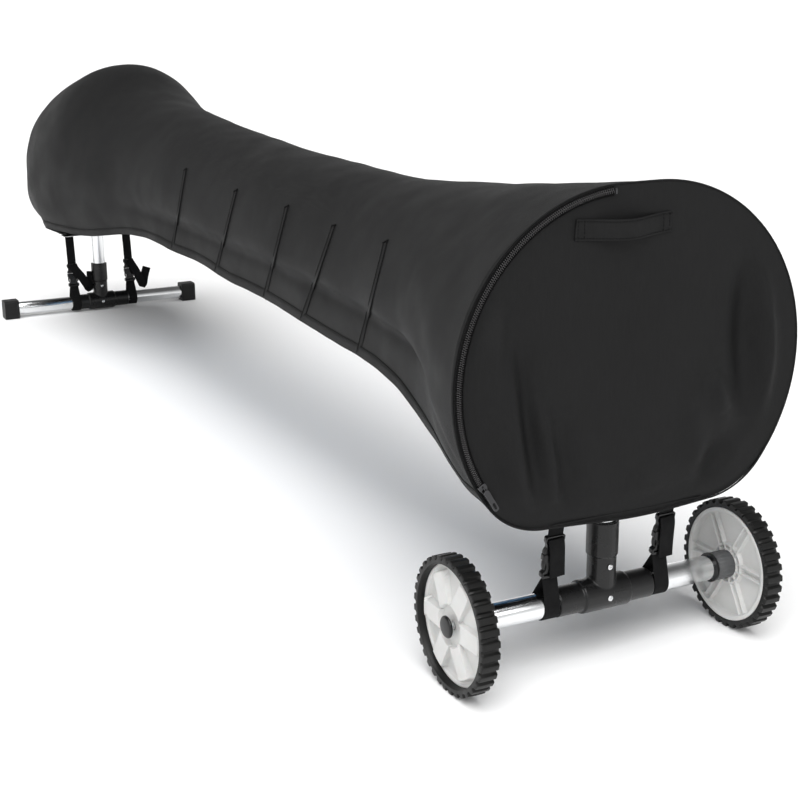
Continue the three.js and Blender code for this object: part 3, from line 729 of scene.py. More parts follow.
def dart_line(top, foot_x, side, count=44):
    """Where the plane through a dart's top and foot meets the side of the sleeve."""
    hem = sleeve_measures(foot_x)[2] + 2 * MM
    heights = np.linspace(top[1], hem, count)
    xs = np.linspace(top[0], foot_x, count)
    line, outs = sleeve_line(xs, side, heights=heights)
    cut = line[0] - DART_POINT * (1, -side, 1)
    for _ in range(3):
        run = line[-1] - line[0]
        across = np.array([[run[1], cut[1]], [run[2], cut[2]]])
        shares = np.linalg.solve(across, (line[:, 1:] - line[0, 1:]).T)
        xs = line[0, 0] + shares[0] * run[0] + shares[1] * cut[0]
        line, outs = sleeve_line(xs, side, heights=heights)
    return line, outs


def build_side_seams():
    """Sewn darts on both sides: a narrow tape of doubled cloth between two rows of stitches."""
    tapes, rows = [], []
    for side in (-1, 1):
        for top_x, top_z, foot_x in DARTS:
            line, outs = dart_line((top_x * MM, top_z * MM), foot_x * MM, side)
            section = flat_section(11 * MM, 1.6 * MM, 0.7 * MM)
            tapes.append(sweep_piece("tape", line - outs * 0.3 * MM, outs, section, "oxford_cloth"))
            across = np.cross(outs, line_frames(line))
            for edge in (-1, 1):
                row = line + across * edge * 4.9 * MM + outs * 1.4 * MM
                rows.append(stitch_row(row, outs, 4.4 * MM, 3.9 * MM, 2.0 * MM))
            bar = np.linspace(-6, 6, 9)[:, None] * MM * across[0] + line[0] + outs[0] * 1.6 * MM
            rows.append(stitch_row(bar, outs[0], 1.8 * MM, 2.0 * MM, 3.2 * MM))
    seams = join_pieces("side_seams", tapes)
    return place_piece(seams, "cover", "oxford_cloth"), rows


def build_hem():
    """The turned-up hem along both lower edges, with its row of stitches."""
    xs = np.linspace(sleeve_far + 4 * MM, sleeve_near - 4 * MM, 260)
    bands, rows = [], []
    for side in (-1, 1):
        heights = ((0.0, 1.0 * MM), (9 * MM, 1.1 * MM), (18 * MM, 0.4 * MM))
        lines = [sleeve_line(xs, side, lift, above=above)[0] for above, lift in heights]
        edge = lines[0] - (0, 0, 1.2 * MM)
        band = grid_piece("band", np.stack([edge, *lines], axis=1), "oxford_cloth")
        bands.append(settle(band, thicken(1.2 * MM, 0.0)))
        line, outs = sleeve_line(xs, side, 1.1 * MM, above=15 * MM)
        rows.append(stitch_row(line, outs, 5.5 * MM, 3.6 * MM, 0.7 * MM))
    hem = join_pieces("sleeve_hem", bands)
    return place_piece(hem, "cover", "oxford_cloth"), rows


# ---------- end panels ----------
PANEL = {"radius": 256 * MM, "centre": 26 * MM, "bottom": 246 * MM, "corner": 110 * MM}


def near_outline(count):
    """The near end panel's edge as (y, z) points, from the bottom corner round by the +Y side."""
    radius, centre, bottom, corner = PANEL.values()
    turn = math.asin((BELLY - bottom - corner) / (radius - corner))
    corner_y = centre + (radius - corner) * math.cos(turn)

    def arc(y, z, size, start, end):
        angle = np.linspace(start, end, 60)
        return np.stack([y + size * np.cos(angle), z + size * np.sin(angle)], 1)

    right_corner = arc(corner_y, bottom + corner, corner, -math.pi / 2, -turn)
    right_side = arc(centre, BELLY, radius, -turn, math.pi / 2)
    half = np.vstack([right_corner, right_side])
    line = even_line(np.vstack([half, half[::-1] * (-1, 1)]), count, closed=True)
    sag = 10 * MM * bump_profile(line[:, 0] - 0.02, 0.085) * (line[:, 1] < BELLY - 0.15)
    return line - np.stack([np.zeros(count), sag], 1)


def far_outline(count):
    """The far end panel's edge: the sleeve's last section, closed below by round corners."""
    rim, _ = sleeve_section(sleeve_far, 150)
    bottom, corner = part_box("far_end_panel")[0].z, 0.085
    hem_half, hem = rim[0]
    turn = math.asin((bottom + corner - hem) / corner)
    corner_y = hem_half - corner * math.cos(turn)
    angle = np.linspace(math.pi + turn, 1.5 * math.pi, 24)
    left = np.stack([corner * np.cos(angle) - corner_y, bottom + corner + corner * np.sin(angle)], 1)
    right = left[::-1] * (-1, 1)
    return even_line(np.vstack([rim, left, right]), count, closed=True)


def panel_points(outline, centre, rings, depth_at):
    """A disc of cloth as rings[ring, step, 3] from the centre out; depth_at gives its x."""
    share = (np.arange(1, rings + 1) / rings) ** 0.85
    flat = centre + share[:, None, None] * (outline[None] - centre)
    depth = depth_at(flat[..., 0], flat[..., 1], share[:, None])
    return np.concatenate([depth[..., None], flat], axis=-1)


def disc_piece(name, rings, middle, material):
    """Rings of points from the middle out, closed at the middle by a fan of triangles."""
    count, steps = rings.shape[:2]
    faces = grid_faces(count, steps, wrap_columns=True).tolist()
    faces.extend([[count * steps, step, (step + 1) % steps] for step in range(steps)])
    return new_piece(name, np.vstack([rings.reshape(-1, 3), middle]), faces, material)


PANEL_FOLDS = in_metres(
    [
        ([(-232, 560), (-204, 430), (-170, 262)], 20 * MM, 21 * MM),
        ([(-186, 500), (-174, 400), (-150, 280)], 12 * MM, -17 * MM),
        ([(-160, 440), (-138, 350), (-119, 280)], 12 * MM, 15 * MM),
        ([(-128, 400), (-108, 330), (-100, 264)], 16 * MM, -12 * MM),
        ([(184, 590), (190, 470), (200, 355)], 18 * MM, -20 * MM),
        ([(222, 570), (228, 450), (236, 360)], 14 * MM, 14 * MM),
        ([(126, 432), (158, 370)], 11 * MM, 11 * MM),
        ([(168, 330), (108, 266)], 16 * MM, -13 * MM),
        ([(92, 380), (112, 320), (120, 268)], 15 * MM, 9 * MM),
        ([(-40, 560), (-52, 450), (-70, 330)], 44 * MM, -6 * MM),
        ([(0, 305), (44, 262)], 18 * MM, 5 * MM),
    ]
)


def panel_rumple(y, z, height, wavelength, seed):
    flat = np.stack([np.zeros(y.size), y.ravel(), z.ravel()], 1)
    return height * cloth_noise(flat, wavelength, seed).reshape(y.shape)


def near_depth(y, z, share):
    """The near panel's x at (y, z): flat near its edge, gently full and folded inside."""
    inner = 1 - smooth_step(0.80, 0.93, share)
    under_handle = bump_profile(np.hypot(y + 0.029, (z - 0.649) * 2.0), 0.075)
    full = 7 * MM * (1 - share**2) + fold_height(y, z, PANEL_FOLDS) + panel_rumple(y, z, 1.6 * MM, 0.09, 21)
    lower = smooth_step(0.93, 1.0, share) * bump_profile(z - PANEL["bottom"], 0.03)
    return panel_face - 1.0 * MM + inner * full * (1 - 0.9 * under_handle) - 3 * MM * lower


def far_depth(y, z, share):
    """The far panel's x: a shallow dome with folds that fan out from its middle."""
    angle = np.arctan2(z - 0.45, y)
    inner = 1 - smooth_step(0.85, 1, share)
    dome = 16 * MM * np.sqrt(np.clip(1 - share**2, 0, 1))
    fan = 3.0 * MM * np.sin(angle * 9 + np.sin(angle * 2) * 1.5) * share**2
    return far_face + 1.2 * MM - dome - (fan + panel_rumple(y, z, 2.5 * MM, 0.1, 5)) * inner


def under_flap(node, sign, half_width):
    """The panel's lower edge turned in under the shaft, notched round the post."""
    low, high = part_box(node)
    start, face = (low.x, high.x) if sign > 0 else (high.x, low.x)
    notch_end = (near_x if sign > 0 else far_x) + sign * 44 * MM
    notch_half = 40 * MM
    xs = [start, notch_end, face - sign * 1.0 * MM]
    ys = [-half_width, -notch_half, half_width, notch_half]
    points = [(x, y, low.z + 0.4 * MM) for y in ys for x in xs]
    faces = [[base, base + 1, base + 4, base + 3] for base in (0, 1, 6, 7)]
    faces.append([4, 5, 11, 10])
    flap = new_piece("flap", points, faces, "oxford_cloth")
    with editing(flap.data) as shape:
        bmesh.ops.subdivide_edges(shape, edges=shape.edges, cuts=5, use_grid_fill=True)
    return settle(flap, thicken(1.4 * MM, 0.0))


def build_panel(end, sign, outline_of, steps, rings, middle_z, depth_at, flap_half):
    """An end panel with its turned-in lower edge, and the corded welt along its seam."""
    node = f"{end}_end_panel"
    middle = np.array((0.0, middle_z))
    points = panel_points(outline_of(steps), middle, rings, depth_at)
    hub_x = depth_at(*np.array([[0.0], [middle_z], [0.0]]))[0]
    disc = disc_piece("disc", points, (hub_x, *middle), "oxford_cloth")
    settle(disc, thicken(1.4 * MM, -1.0 if facing_x(disc) * sign > 0 else 1.0))
    panel = join_pieces(f"{end}_panel", [disc, under_flap(node, sign, flap_half)])
    place_piece(panel, "cover", "oxford_cloth", node)
    line = on_face(outline_of(steps - 40), (panel_face if sign > 0 else far_face) - sign * 1.4 * MM)
    welt = sweep_piece(f"{end}_welt", line, (1, 0, 0), round_section(1.3 * MM), "oxford_cloth", closed=True)
    return panel, place_piece(welt, "cover", "oxford_cloth")


def on_face(flat, x):
    """(y, z) points as points at one x."""
    return np.concatenate([np.full((len(flat), 1), x), flat], axis=1)


def facing_x(piece):
    return sum(face.normal.x * face.area for face in piece.data.polygons)


# ---------- carrying handle ----------
HANDLE = {"y": -29 * MM, "z": 649 * MM, "length": 151 * MM, "height": 28 * MM, "tab": 16 * MM, "bow": 14 * MM}


def build_handle():
    """A doubled strip of the cloth, sewn down at both ends and bowed out between them."""
    y, z, length, height, tab, bow = HANDLE.values()
    along = np.linspace(-0.5, 0.5, 61) * length
    away = np.clip(np.abs(along) / (length / 2 - tab), 0, 1)
    x = panel_face + 0.4 * MM + bow * 0.5 * (1 + np.cos(np.pi * away))
    sag = -3.5 * MM * (1 - (2 * along / length) ** 2)
    line = np.stack([x, y + along, z + sag], 1)
    section = flat_section(height, 2.2 * MM, 1.0 * MM, 4)
    strip = sweep_piece("handle", line, (1, 0, 0), section, "oxford_cloth")
    place_piece(strip, "cover", "oxford_cloth", "cover_handle")
    rows = []
    top = 2.7 * MM
    for end in (-1, 1):
        edge = line + (top, 0, end * (height / 2 - 3 * MM))
        rows.append(stitch_row(edge, (1, 0, 0), 4.2 * MM, 3.2 * MM, 0.9 * MM))
        for inset in (3 * MM, 13 * MM):
            column = np.full((6, 3), (panel_face + 0.5 * MM + top, y + end * (length / 2 - inset), z))
            column[:, 2] += np.linspace(-10, 10, 6) * MM
            rows.append(stitch_row(column, (1, 0, 0), 3.6 * MM, 3.0 * MM, 0.9 * MM))
    return strip, rows


# ---------- zip ----------
ZIP = {"y": -26 * MM, "radius": 248.5 * MM, "top": 95, "bottom": 217, "slider": 211}


def zip_line(radius, count, x):
    """Points round the zip's arc, at one x."""
    angle = np.radians(np.linspace(ZIP["top"], ZIP["bottom"], count))
    return on_face(np.stack([ZIP["y"] + radius * np.cos(angle), BELLY + radius * np.sin(angle)], 1), x)


def zip_place(angle, x):
    """The point on the zip at an angle, and the direction from the arc's centre to it."""
    radial = Vector((0, math.cos(angle), math.sin(angle)))
    return Vector((x, ZIP["y"], BELLY)) + radial * ZIP["radius"], radial


def build_zip():
    tape_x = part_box("zip_tape")[0].x
    coil_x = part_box("zip_coil")[0].x
    section = flat_section(14 * MM, 1.1 * MM, 0.4 * MM)
    tape_line = zip_line(ZIP["radius"], 120, tape_x)
    tape = sweep_piece("zip_tape_band", tape_line, (1, 0, 0), section, "webbing")
    place_piece(tape, "cover", "zip_nylon", "zip_tape")
    place_piece(zip_teeth(coil_x), "cover", "zip_nylon", "zip_coil")
    place_piece(zip_stop(coil_x), "cover", "zip_metal")
    edges = [zip_line(ZIP["radius"] + edge * 5.6 * MM, 160, tape_x + 1.3 * MM) for edge in (-1, 1)]
    return [stitch_row(line, (1, 0, 0), 3.8 * MM, 3.3 * MM, 1.9 * MM) for line in edges]


def zip_teeth(coil_x):
    """Two rows of interlocking coil turns, each a short arched bar across half the zip."""
    pitch = 3.0 * MM
    thick = 0.85 * MM
    count = int(math.radians(ZIP["bottom"] - ZIP["top"]) * ZIP["radius"] / pitch)
    bar = np.array([(-0.6, 1.2), (0.475, 1.9), (1.55, 2.1), (2.625, 1.7), (3.7, 0.5)]) * MM  # outward, up
    around = np.linspace(0, 2 * math.pi, 6, endpoint=False)[:, None]
    up = np.array((1.0, 0, 0))
    tube = grid_faces(5, 6, wrap_columns=True).tolist() + [list(range(6)), list(range(29, 23, -1))]
    points, faces = [], []
    for side in (-1, 1):
        for turn in range(count):
            angle = math.radians(ZIP["top"]) + (turn + 0.25 * (1 + side)) * pitch / ZIP["radius"]
            start, radial = zip_place(angle, coil_x)
            tangent = np.array((0, -math.sin(angle), math.cos(angle)))
            middles = np.array(start) + side * bar[:, :1] * np.array(radial) + bar[:, 1:] * 0.6 * up
            ring = thick * (np.cos(around) * tangent + np.sin(around) * up)
            faces.extend([[corner + 30 * len(points) for corner in face] for face in tube])
            points.append((middles[:, None] + ring).reshape(-1, 3))
    return outward(new_piece("zip_teeth", np.vstack(points), faces, "zip_nylon"))


def zip_stop(coil_x):
    """The metal clamp that closes the zip's top end."""
    middle, radial = zip_place(math.radians(ZIP["top"] - 0.6), coil_x + 1.2 * MM)
    line = [middle - radial * 4 * MM, middle + radial * 4 * MM]
    section = flat_section(3.4 * MM, 2.4 * MM, 0.8 * MM)
    piece = sweep_piece("zip_top_stop", line, (1, 0, 0), section, "zip_metal")
    return settle(piece, bevel(0.4 * MM, 2), smooth_angle=40)


def slider_matrix():
    """From the slider's own frame, with the zip running along Z, to its place on the zip."""
    turn = math.radians(ZIP["slider"])
    place, _ = zip_place(turn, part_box("zip_slider")[0].x)
    return Matrix.Translation(place) @ Matrix.Rotation(turn - math.pi, 4, "X")


def mirrored(half):
    """An outline from the (y, z) points of its +Y half, listed upwards."""
    return half + [(-y, z) for y, z in reversed(half)]


def outline_piece(name, outline, x_low, x_high, material, holes=(), edge=0.5):
    """A (y, z) outline with holes, as a plate between two x, with rounded edges: all in millimetres."""
    curve = bpy.data.curves.new(name, "CURVE")
    curve.dimensions = "2D"
    curve.fill_mode = "BOTH"
    for loop in (outline, *[hole[::-1] for hole in holes]):
        spline = curve.splines.new("POLY")
        spline.points.add(len(loop) - 1)
        for point, (y, z) in zip(spline.points, loop):
            point.co = (y * MM, z * MM, 0, 1)
        spline.use_cyclic_u = True
    curve.extrude = (x_high - x_low) / 2 * MM
    holder = add_object(name, curve)
    bpy.context.view_layer.update()
    mesh = bpy.data.meshes.new_from_object(holder.evaluated_get(bpy.context.evaluated_depsgraph_get()))
    bpy.data.objects.remove(holder)
    mesh.transform(Matrix.Translation(((x_low + x_high) / 2 * MM, 0, 0)) @ AXES["X"].to_4x4())
    piece = add_object(name, mesh)
    mesh.materials.clear()
    mesh.materials.append(materials[material])
    with editing(mesh) as shape:
        bmesh.ops.remove_doubles(shape, verts=shape.verts, dist=1e-6)
        bmesh.ops.dissolve_limit(shape, angle_limit=math.radians(1), verts=shape.verts, edges=shape.edges)
        bmesh.ops.recalc_face_normals(shape, faces=shape.faces)
    return settle(piece, bevel(edge * MM), smooth_angle=40)


def build_slider():
    """The slider's waisted body with its bridge, and the looped pull that hangs from it."""
    place = slider_matrix()
    half = [(2.8, -8), (3.6, -7.4), (4.2, -3), (6, 2), (6, 7), (4.4, 8)]
    body = outline_piece("slider_body", mirrored(half), 0, 3.3, "zip_metal", edge=0.7)
    arch = np.array([(3.0, 6.0), (4.4, 5.4), (4.9, 3.4), (4.9, 0.5), (4.6, -2.5), (3.0, -4.2)]) * MM
    line = even_line(np.insert(arch, 1, 0, axis=1), 24)
    bridge = sweep_piece("bridge", line, (0, 1, 0), round_section(1.0 * MM), "zip_metal")
    slider = join_pieces("slider", [body, bridge], 40)
    place_piece(slider, "zip_slider", "zip_metal", "zip_slider", at=place)
    plate = rounded_box_outline(8, 36, 3.4, (0, -18))
    eye = rounded_box_outline(3.6, 10, 1.7, (0, -27.5))
    pull = outline_piece("pull", plate, 5.1, 6.9, "zip_metal", [eye])
    place_piece(pull, "zip_pull", "zip_metal", "zip_pull", at=place)


# ---------- straps and buckles ----------
STRAPS = {
    "near_left": {"x": near_x, "y": -95 * MM, "z": wheel_z, "hole": 19.4 * MM},
    "near_right": {"x": near_x, "y": 95 * MM, "z": wheel_z, "hole": 19.4 * MM},
    "far_left": {"x": far_x, "y": -78 * MM, "z": far_foot_z, "hole": 22.4 * MM},
    "far_right": {"x": far_x, "y": 95 * MM, "z": far_foot_z, "hole": 19.4 * MM},
}
BUCKLE = {"foot": 48, "split": 88, "top": 116, "half": 16, "depth": 4.5}  # millimetres above the tube
# Free ends of the straps: points (outward, across, up) above each strap's tube, in millimetres.
TAILS = {
    "near_left": [(4, 0, 112), (7, 1, 100), (7, 4, 80), (6, 7, 62), (7, 8, 50)],
    "near_right": [(4, 0, 112), (7, 1, 100), (7, 3, 80), (6, 6, 58), (7, 7, 44)],
    "far_left": [
        (5, 0, 112), (10, 8, 96), (12, 22, 76), (10, 36, 52),
        (4, 44, 40), (6, 50, 62), (10, 52, 90),
    ],
    "far_right": [
        (5, 0, 112), (10, 8, 96), (11, 20, 72), (8, 32, 44),
        (4, 38, 36), (0, 46, 60), (-2, 56, 86),
    ],
}


def strap_matrix(name):
    """From a strap's own frame, upright with its tube at the origin, to its place and lean."""
    strap = STRAPS[name]
    low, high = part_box(name + "_upper_strap")
    middle = (low + high) / 2
    lean = math.atan2(middle.x - strap["x"], middle.z - strap["z"])
    return Matrix.Translation((strap["x"], strap["y"], strap["z"])) @ Matrix.Rotation(lean, 4, "Y")


def build_strap(name):
    strap = STRAPS[name]
    place = strap_matrix(name)
    section = flat_section(25 * MM, 1.7 * MM, 0.6 * MM)
    foot = BUCKLE["foot"] * MM
    tip = foot - 0.3 * MM
    touch = math.acos(strap["hole"] / tip)
    angle = np.linspace(math.pi / 2 + touch, 2.5 * math.pi - touch, 60)
    ring = strap["hole"] * np.stack([np.cos(angle), np.sin(angle)], 1)
    ends = [(side * 0.2 * MM, tip - 1.5 * MM) for side in (-1, 1)]
    loop = np.insert(even_line(np.vstack([ends[0], ring, ends[1]]), 90), 1, 0, axis=1)
    outs = np.cross((0, 1, 0), line_frames(loop))
    turn = np.array([(-0.9 * MM, 0, foot - 3 * MM), (-0.9 * MM, 0, foot + 9 * MM)])
    bands = [
        sweep_piece("ring", loop, outs, section, "webbing"),
        sweep_piece("turn", even_line(turn, 4), (1, 0, 0), section, "webbing"),
    ]
    place_piece(join_pieces(name + "_loop", bands), "frame", "webbing", name + "_strap_loop", at=place)

    low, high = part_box(name + "_upper_strap")
    reach = (place.inverted() @ Vector(((low.x + high.x) / 2, strap["y"], high.z))).z
    heights = np.linspace((BUCKLE["top"] - 14) * MM, reach, 14)
    line = np.stack([0.5 * MM * np.sin(heights / 0.02), np.zeros(14), heights], 1)
    upper = sweep_piece(name + "_upper", line, (1, 0, 0), section, "webbing")
    place_piece(upper, "cover", "webbing", name + "_upper_strap", at=place)

    tail_line = smooth_line(np.array(TAILS[name]) * MM, 40)
    tail = sweep_piece(name + "_tail", tail_line, (1, 0, 0.15), section, "webbing")
    place_piece(tail, "cover", "webbing", at=place)
    build_buckle(name, place)


def smooth_line(points, count):
    """A Catmull-Rom curve through points."""
    ghost = np.vstack([2 * points[0] - points[1], points, 2 * points[-1] - points[-2]])
    line = []
    for step in range(len(points) - 1):
        a, b, c, d = ghost[step : step + 4]
        t = np.linspace(0, 1, 16)[:, None]
        square, cube = 2 * a - 5 * b + 4 * c - d, 3 * b - a - 3 * c + d
        line.append(0.5 * (2 * b + (c - a) * t + square * t**2 + cube * t**3))
    return even_line(np.vstack(line), count)


def build_buckle(name, place):
    """Side-release buckle: a socket with open sides and a prong with its strap bar."""
    foot, split, top, half, depth = BUCKLE.values()
    material = "buckle_plastic"
    # Side outlines, as how far inside the full width and how far above the foot or the split.
    side = [(2.5, 0), (0.5, 3), (0.5, 9), (5.5, 13), (6, 20), (4, 26), (0, 30), (0, 38), (1.5, 39.7)]
    outline = mirrored([(half - inset, foot + rise) for inset, rise in side])
    bar_gap = rounded_box_outline(25.6, 3, 1.2, (0, foot + 6))
    shell = outline_piece("shell", outline, -depth, depth, material, [bar_gap], 1.2)
    rib_outline = rounded_box_outline(15, 15, 4, (0, foot + 22))
    rib = outline_piece("rib", rib_outline, depth - 0.4, depth + 0.7, material)
    socket = join_pieces(name + "_socket", [shell, rib], 40)
    place_piece(socket, "frame", material, name + "_buckle_socket", at=place)

    waist = [(0.5, 0.4), (0, 2), (1, 6), (3.5, 10), (3, 15), (0.5, 20), (0.5, 26), (2.5, 28)]
    outline = mirrored([(half - inset, split + rise) for inset, rise in waist])
    slots = [rounded_box_outline(25.6, 2.6, 1.2, (0, top - drop)) for drop in (5, 11)]
    parts = [outline_piece("frame_plate", outline, 1 - depth, depth - 1, material, slots, 0.9)]
    spring = [(13.5, 31), (15.4, 27), (15.6, 21), (14.2, 15)]
    spring += [(12.4, 13.5), (11.6, 16), (12.2, 22), (11.8, 31)]
    for hand in (-1, 1):
        tip = [(hand * y, foot + z) for y, z in spring[::hand]]
        parts.append(outline_piece("tip", tip, -2.6, 2.6, material, edge=0.6))
    prong = join_pieces(name + "_prong", parts, 40)
    place_piece(prong, "cover", material, name + "_buckle_prong", at=place)


# ---------- wheels ----------
WHEEL = {  # millimetres
    "radius": 100,
    "disc": 87.4,
    "outer_face": 255,
    "half_width": 14,
    "spoke": 30,
    "boss_radius": 22,
    "boss_end": 201.6,
    "lugs": 36,
}


def spoke_field(radius, angle, half_width, count=6, phase=0.0):
    """Distance outside the nearest radial bar of a half width; negative inside it."""
    step = 2 * math.pi / count
    local = (angle - phase + step / 2) % step - step / 2
    return np.abs(radius * np.sin(local)) - half_width


def wheel_outer(radius, angle):
    """How far the wheel's outer face is sunk below its rim, at (radius, angle): millimetres."""
    lip = 3.0 * smooth_step(0, 2, WHEEL["disc"] - 3 - radius)
    bar = spoke_field(radius, angle, WHEEL["spoke"] / 2 - 1)
    ring = np.maximum(bar, np.maximum(31 - radius, radius - 77))
    pocket = smooth_step(0, 1.2, ring) * (7 + 4 * smooth_step(32, 76, radius))
    dish = 1.2 * smooth_step(30, 76, radius) * (1 - smooth_step(76, 82, radius))
    nicks = np.zeros_like(radius)
    for hand in (-1, 1):
        away = np.hypot(radius * np.cos(angle) - 70, radius * np.sin(angle) - hand * 13)
        nicks += (1 - smooth_step(2.2, 3.4, away)) * 6
    return lip + pocket + dish + nicks


def wheel_inner(radius, angle):
    """How far the wheel's inner face is sunk: a hub ring, thin double ribs and a rim flange."""
    rim = smooth_step(0, 2, WHEEL["disc"] - 6 - radius)
    hub_ring = smooth_step(0, 1.6, np.abs(radius - 30) - 1.6)
    centre = smooth_step(0, 1.6, radius - 22.5)
    ribs = smooth_step(0, 1.6, np.abs(spoke_field(radius, angle, 6)) - 1.3)
    fins = smooth_step(0, 1.6, spoke_field(radius, angle, 1.2, 12, math.pi / 12))
    floor_depth = np.where(radius > 30, 6 * ribs, 8 * fins)
    return (4 + floor_depth * hub_ring * centre) * rim


def relief_disc(name, radii, steps, front, back, material):
    """A disc about the Y axis: front(radius, angle) and back(radius, angle) give its two sides' y."""
    angle = np.linspace(0, 2 * math.pi, steps, endpoint=False)
    r, a = np.meshgrid(radii, angle, indexing="ij")
    sides = [np.stack([r * np.cos(a), height(r, a), r * np.sin(a)], axis=-1) for height in (front, back)]
    return closed_piece(name, np.concatenate([sides[0], sides[1][::-1]]) * MM, material)


def turned_rings(radius, across, angle):
    """Rings of points about the Y axis, from the radius at [..., ring] and each ring's place along it."""
    return np.stack([radius * np.cos(angle), across, radius * np.sin(angle)], axis=-1) * MM


def tyre_points():
    """Tread blocks with scalloped shoulders: rings of points round the tyre's section."""
    per_lug = 14
    steps = WHEEL["lugs"] * per_lug
    angle = (np.arange(steps) / steps * 2 * math.pi - math.pi / 2)[:, None]
    share = (np.arange(steps) % per_lug) / per_lug
    lug = (smooth_step(0.10, 0.24, share) - smooth_step(0.70, 0.84, share))[:, None]
    # How far inside the side, radius without lug, the lug's share of its height there, its push outwards.
    side = [
        (1.0, 87.8, 0, 0),
        (0, 88.8, 0, 0),
        (0, 91, 0, 0),
        (0.2, 93.5, 0.35, 0.4),
        (2.2, 94.6, 0.95, 1.9),
        (3.2, 95.2, 1.0, 2.2),
        (WHEEL["half_width"] * 2 / 3, 95.4, 1.0, 0),
    ]
    side = [(WHEEL["half_width"] - inset, *rest) for inset, *rest in side]
    left = [(-across, radius, share, -push) for across, radius, share, push in side]
    section = np.array([*left, (0, 95.4, 1.0, 0), *side[::-1]])
    height = np.minimum(4.6, WHEEL["radius"] - section[:, 1]) * section[:, 2]
    return turned_rings(section[:, 1] + lug * height, section[:, 0] + lug * section[:, 3], angle)


def build_wheel(side, sign):
    body = side + "_wheel"
    half = WHEEL["half_width"]
    place = Matrix.Translation((near_x, sign * (WHEEL["outer_face"] - half) * MM, wheel_z))
    if sign < 0:
        place = place @ Matrix.Rotation(math.pi, 4, "Z")
    radii = np.concatenate([np.linspace(6.5, 30, 18), np.linspace(31, WHEEL["disc"], 46)])
    disc = relief_disc(
        side + "_disc",
        radii,
        360,
        lambda r, a: half - 0.3 - wheel_outer(r, a),
        lambda r, a: -half + 0.3 + wheel_inner(r, a),
        "white_plastic",
    )
    place_piece(disc, body, "white_plastic", side + "_wheel_disc", at=place)
    tyre = closed_piece(side + "_tread", tyre_points(), "tyre_rubber", 45)
    place_piece(tyre, body, "tyre_rubber", side + "_tyre", at=place)
    place_piece(ribbed_boss(side + "_boss"), body, "bush_plastic", at=place)
    dome = np.array([(0, -1), (16, -1), (16, 1.6), (14, 3.4), (8, 4.2), (0, 4.2)]) + (0, half)
    cap = lathe_piece(side + "_cap", dome * MM, "Y", (0, 0, 0), "black_plastic", 48, 0.8 * MM)
    place_piece(cap, body, "black_plastic", side + "_hub_cap", at=place)


def ribbed_boss(name):
    """The hub's inner boss: a sleeve with fine ribs round it."""
    end = WHEEL["boss_end"] - WHEEL["outer_face"] + WHEEL["half_width"]
    start = -6
    skin = WHEEL["boss_radius"] - 1
    angle = np.linspace(0, 2 * math.pi, 240, endpoint=False)
    ribs = 0.7 * np.clip(np.cos(angle * 20) * 2, 0, 1)
    profile = np.array(
        [
            (7, start, 0),
            (skin, start, 0),
            (skin, start - 8, 1),
            (skin, end + 5, 1),
            (skin, end + 4, 0),
            (skin, end + 1, 0),
            (skin - 1, end, 0),
            (7, end, 0),
        ]
    )
    radius = profile[:, :1] + ribs * profile[:, 2:]
    across = np.broadcast_to(profile[:, 1:2], radius.shape)
    return closed_piece(name, turned_rings(radius, across, angle), "bush_plastic", 35)


# ---------- stands ----------
def tube_piece(node, name, axis, material, body="frame", wall=2 * MM):
    """A drawn tube in the place of its CAD node."""
    low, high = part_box(node)
    middle = (low + high) / 2
    index = "XYZ".index(axis)
    across = (index + 1) % 3
    radius = (high[across] - low[across]) / 2
    half = (high[index] - low[index]) / 2
    profile = [(radius - wall, -half), (radius, -half), (radius, half), (radius - wall, half)]
    piece = lathe_piece(name, profile, axis, middle, material, 96, 0.4 * MM)
    return place_piece(piece, body, "aluminium_tube", node)


def soften(node, voxel, repeats, material):
    """Rounds a CAD node's edges and corners, as moulding does, by modifiers on the node itself."""
    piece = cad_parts[node]
    remesh = piece.modifiers.new("remesh", "REMESH")
    remesh.mode = "VOXEL"
    remesh.voxel_size = voxel
    remesh.use_smooth_shade = True
    smooth = piece.modifiers.new("smooth", "SMOOTH")
    smooth.factor = 0.5
    smooth.iterations = repeats
    dress(node, material)


def dress(node, material):
    """A CAD node kept as it is, in its real material."""
    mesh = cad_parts[node].data
    mesh.materials.clear()
    mesh.materials.append(materials[material])
    shade(mesh, 30)


def screw_head(name, place):
    """A pan head with a cross recess, facing +X."""

    def front(r, a):
        dome = 2.4 * np.sqrt(np.clip(1 - (r / 4.6) ** 2, 0, 1))
        arm = np.minimum(np.abs(r * np.cos(a)), np.abs(r * np.sin(a)))
        cross = (1 - smooth_step(0.35, 0.8, arm)) * (1 - smooth_step(1.9, 2.6, r))
        return dome - 1.3 * cross

    def back(r, a):
        return np.zeros_like(r)

    head = relief_disc(name, np.linspace(0.15, 4.2, 22), 64, front, back, "steel")
    turn = Matrix.Rotation(-math.pi / 2, 4, "Z")
    return place_piece(head, "frame", "steel", at=Matrix.Translation(place) @ turn)


def build_stand(side):
    for fitting, voxel in (("_tee", 1.3 * MM), ("_bearing_housing", 1.5 * MM)):
        soften(side + fitting, voxel, 4, "black_plastic")
    dress(side + "_bearing_bush", "bush_plastic")
    tube_piece(side + "_post", side + "_upright", "Z", "tube_upright")
    for level in ("lower", "upper"):
        node = f"{side}_screw_{level}"
        low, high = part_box(node)
        head = screw_head(node + "_head", (high.x - 2.6 * MM, 0, (low.z + high.z) / 2))
        dress(node, "steel")
        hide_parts(node)


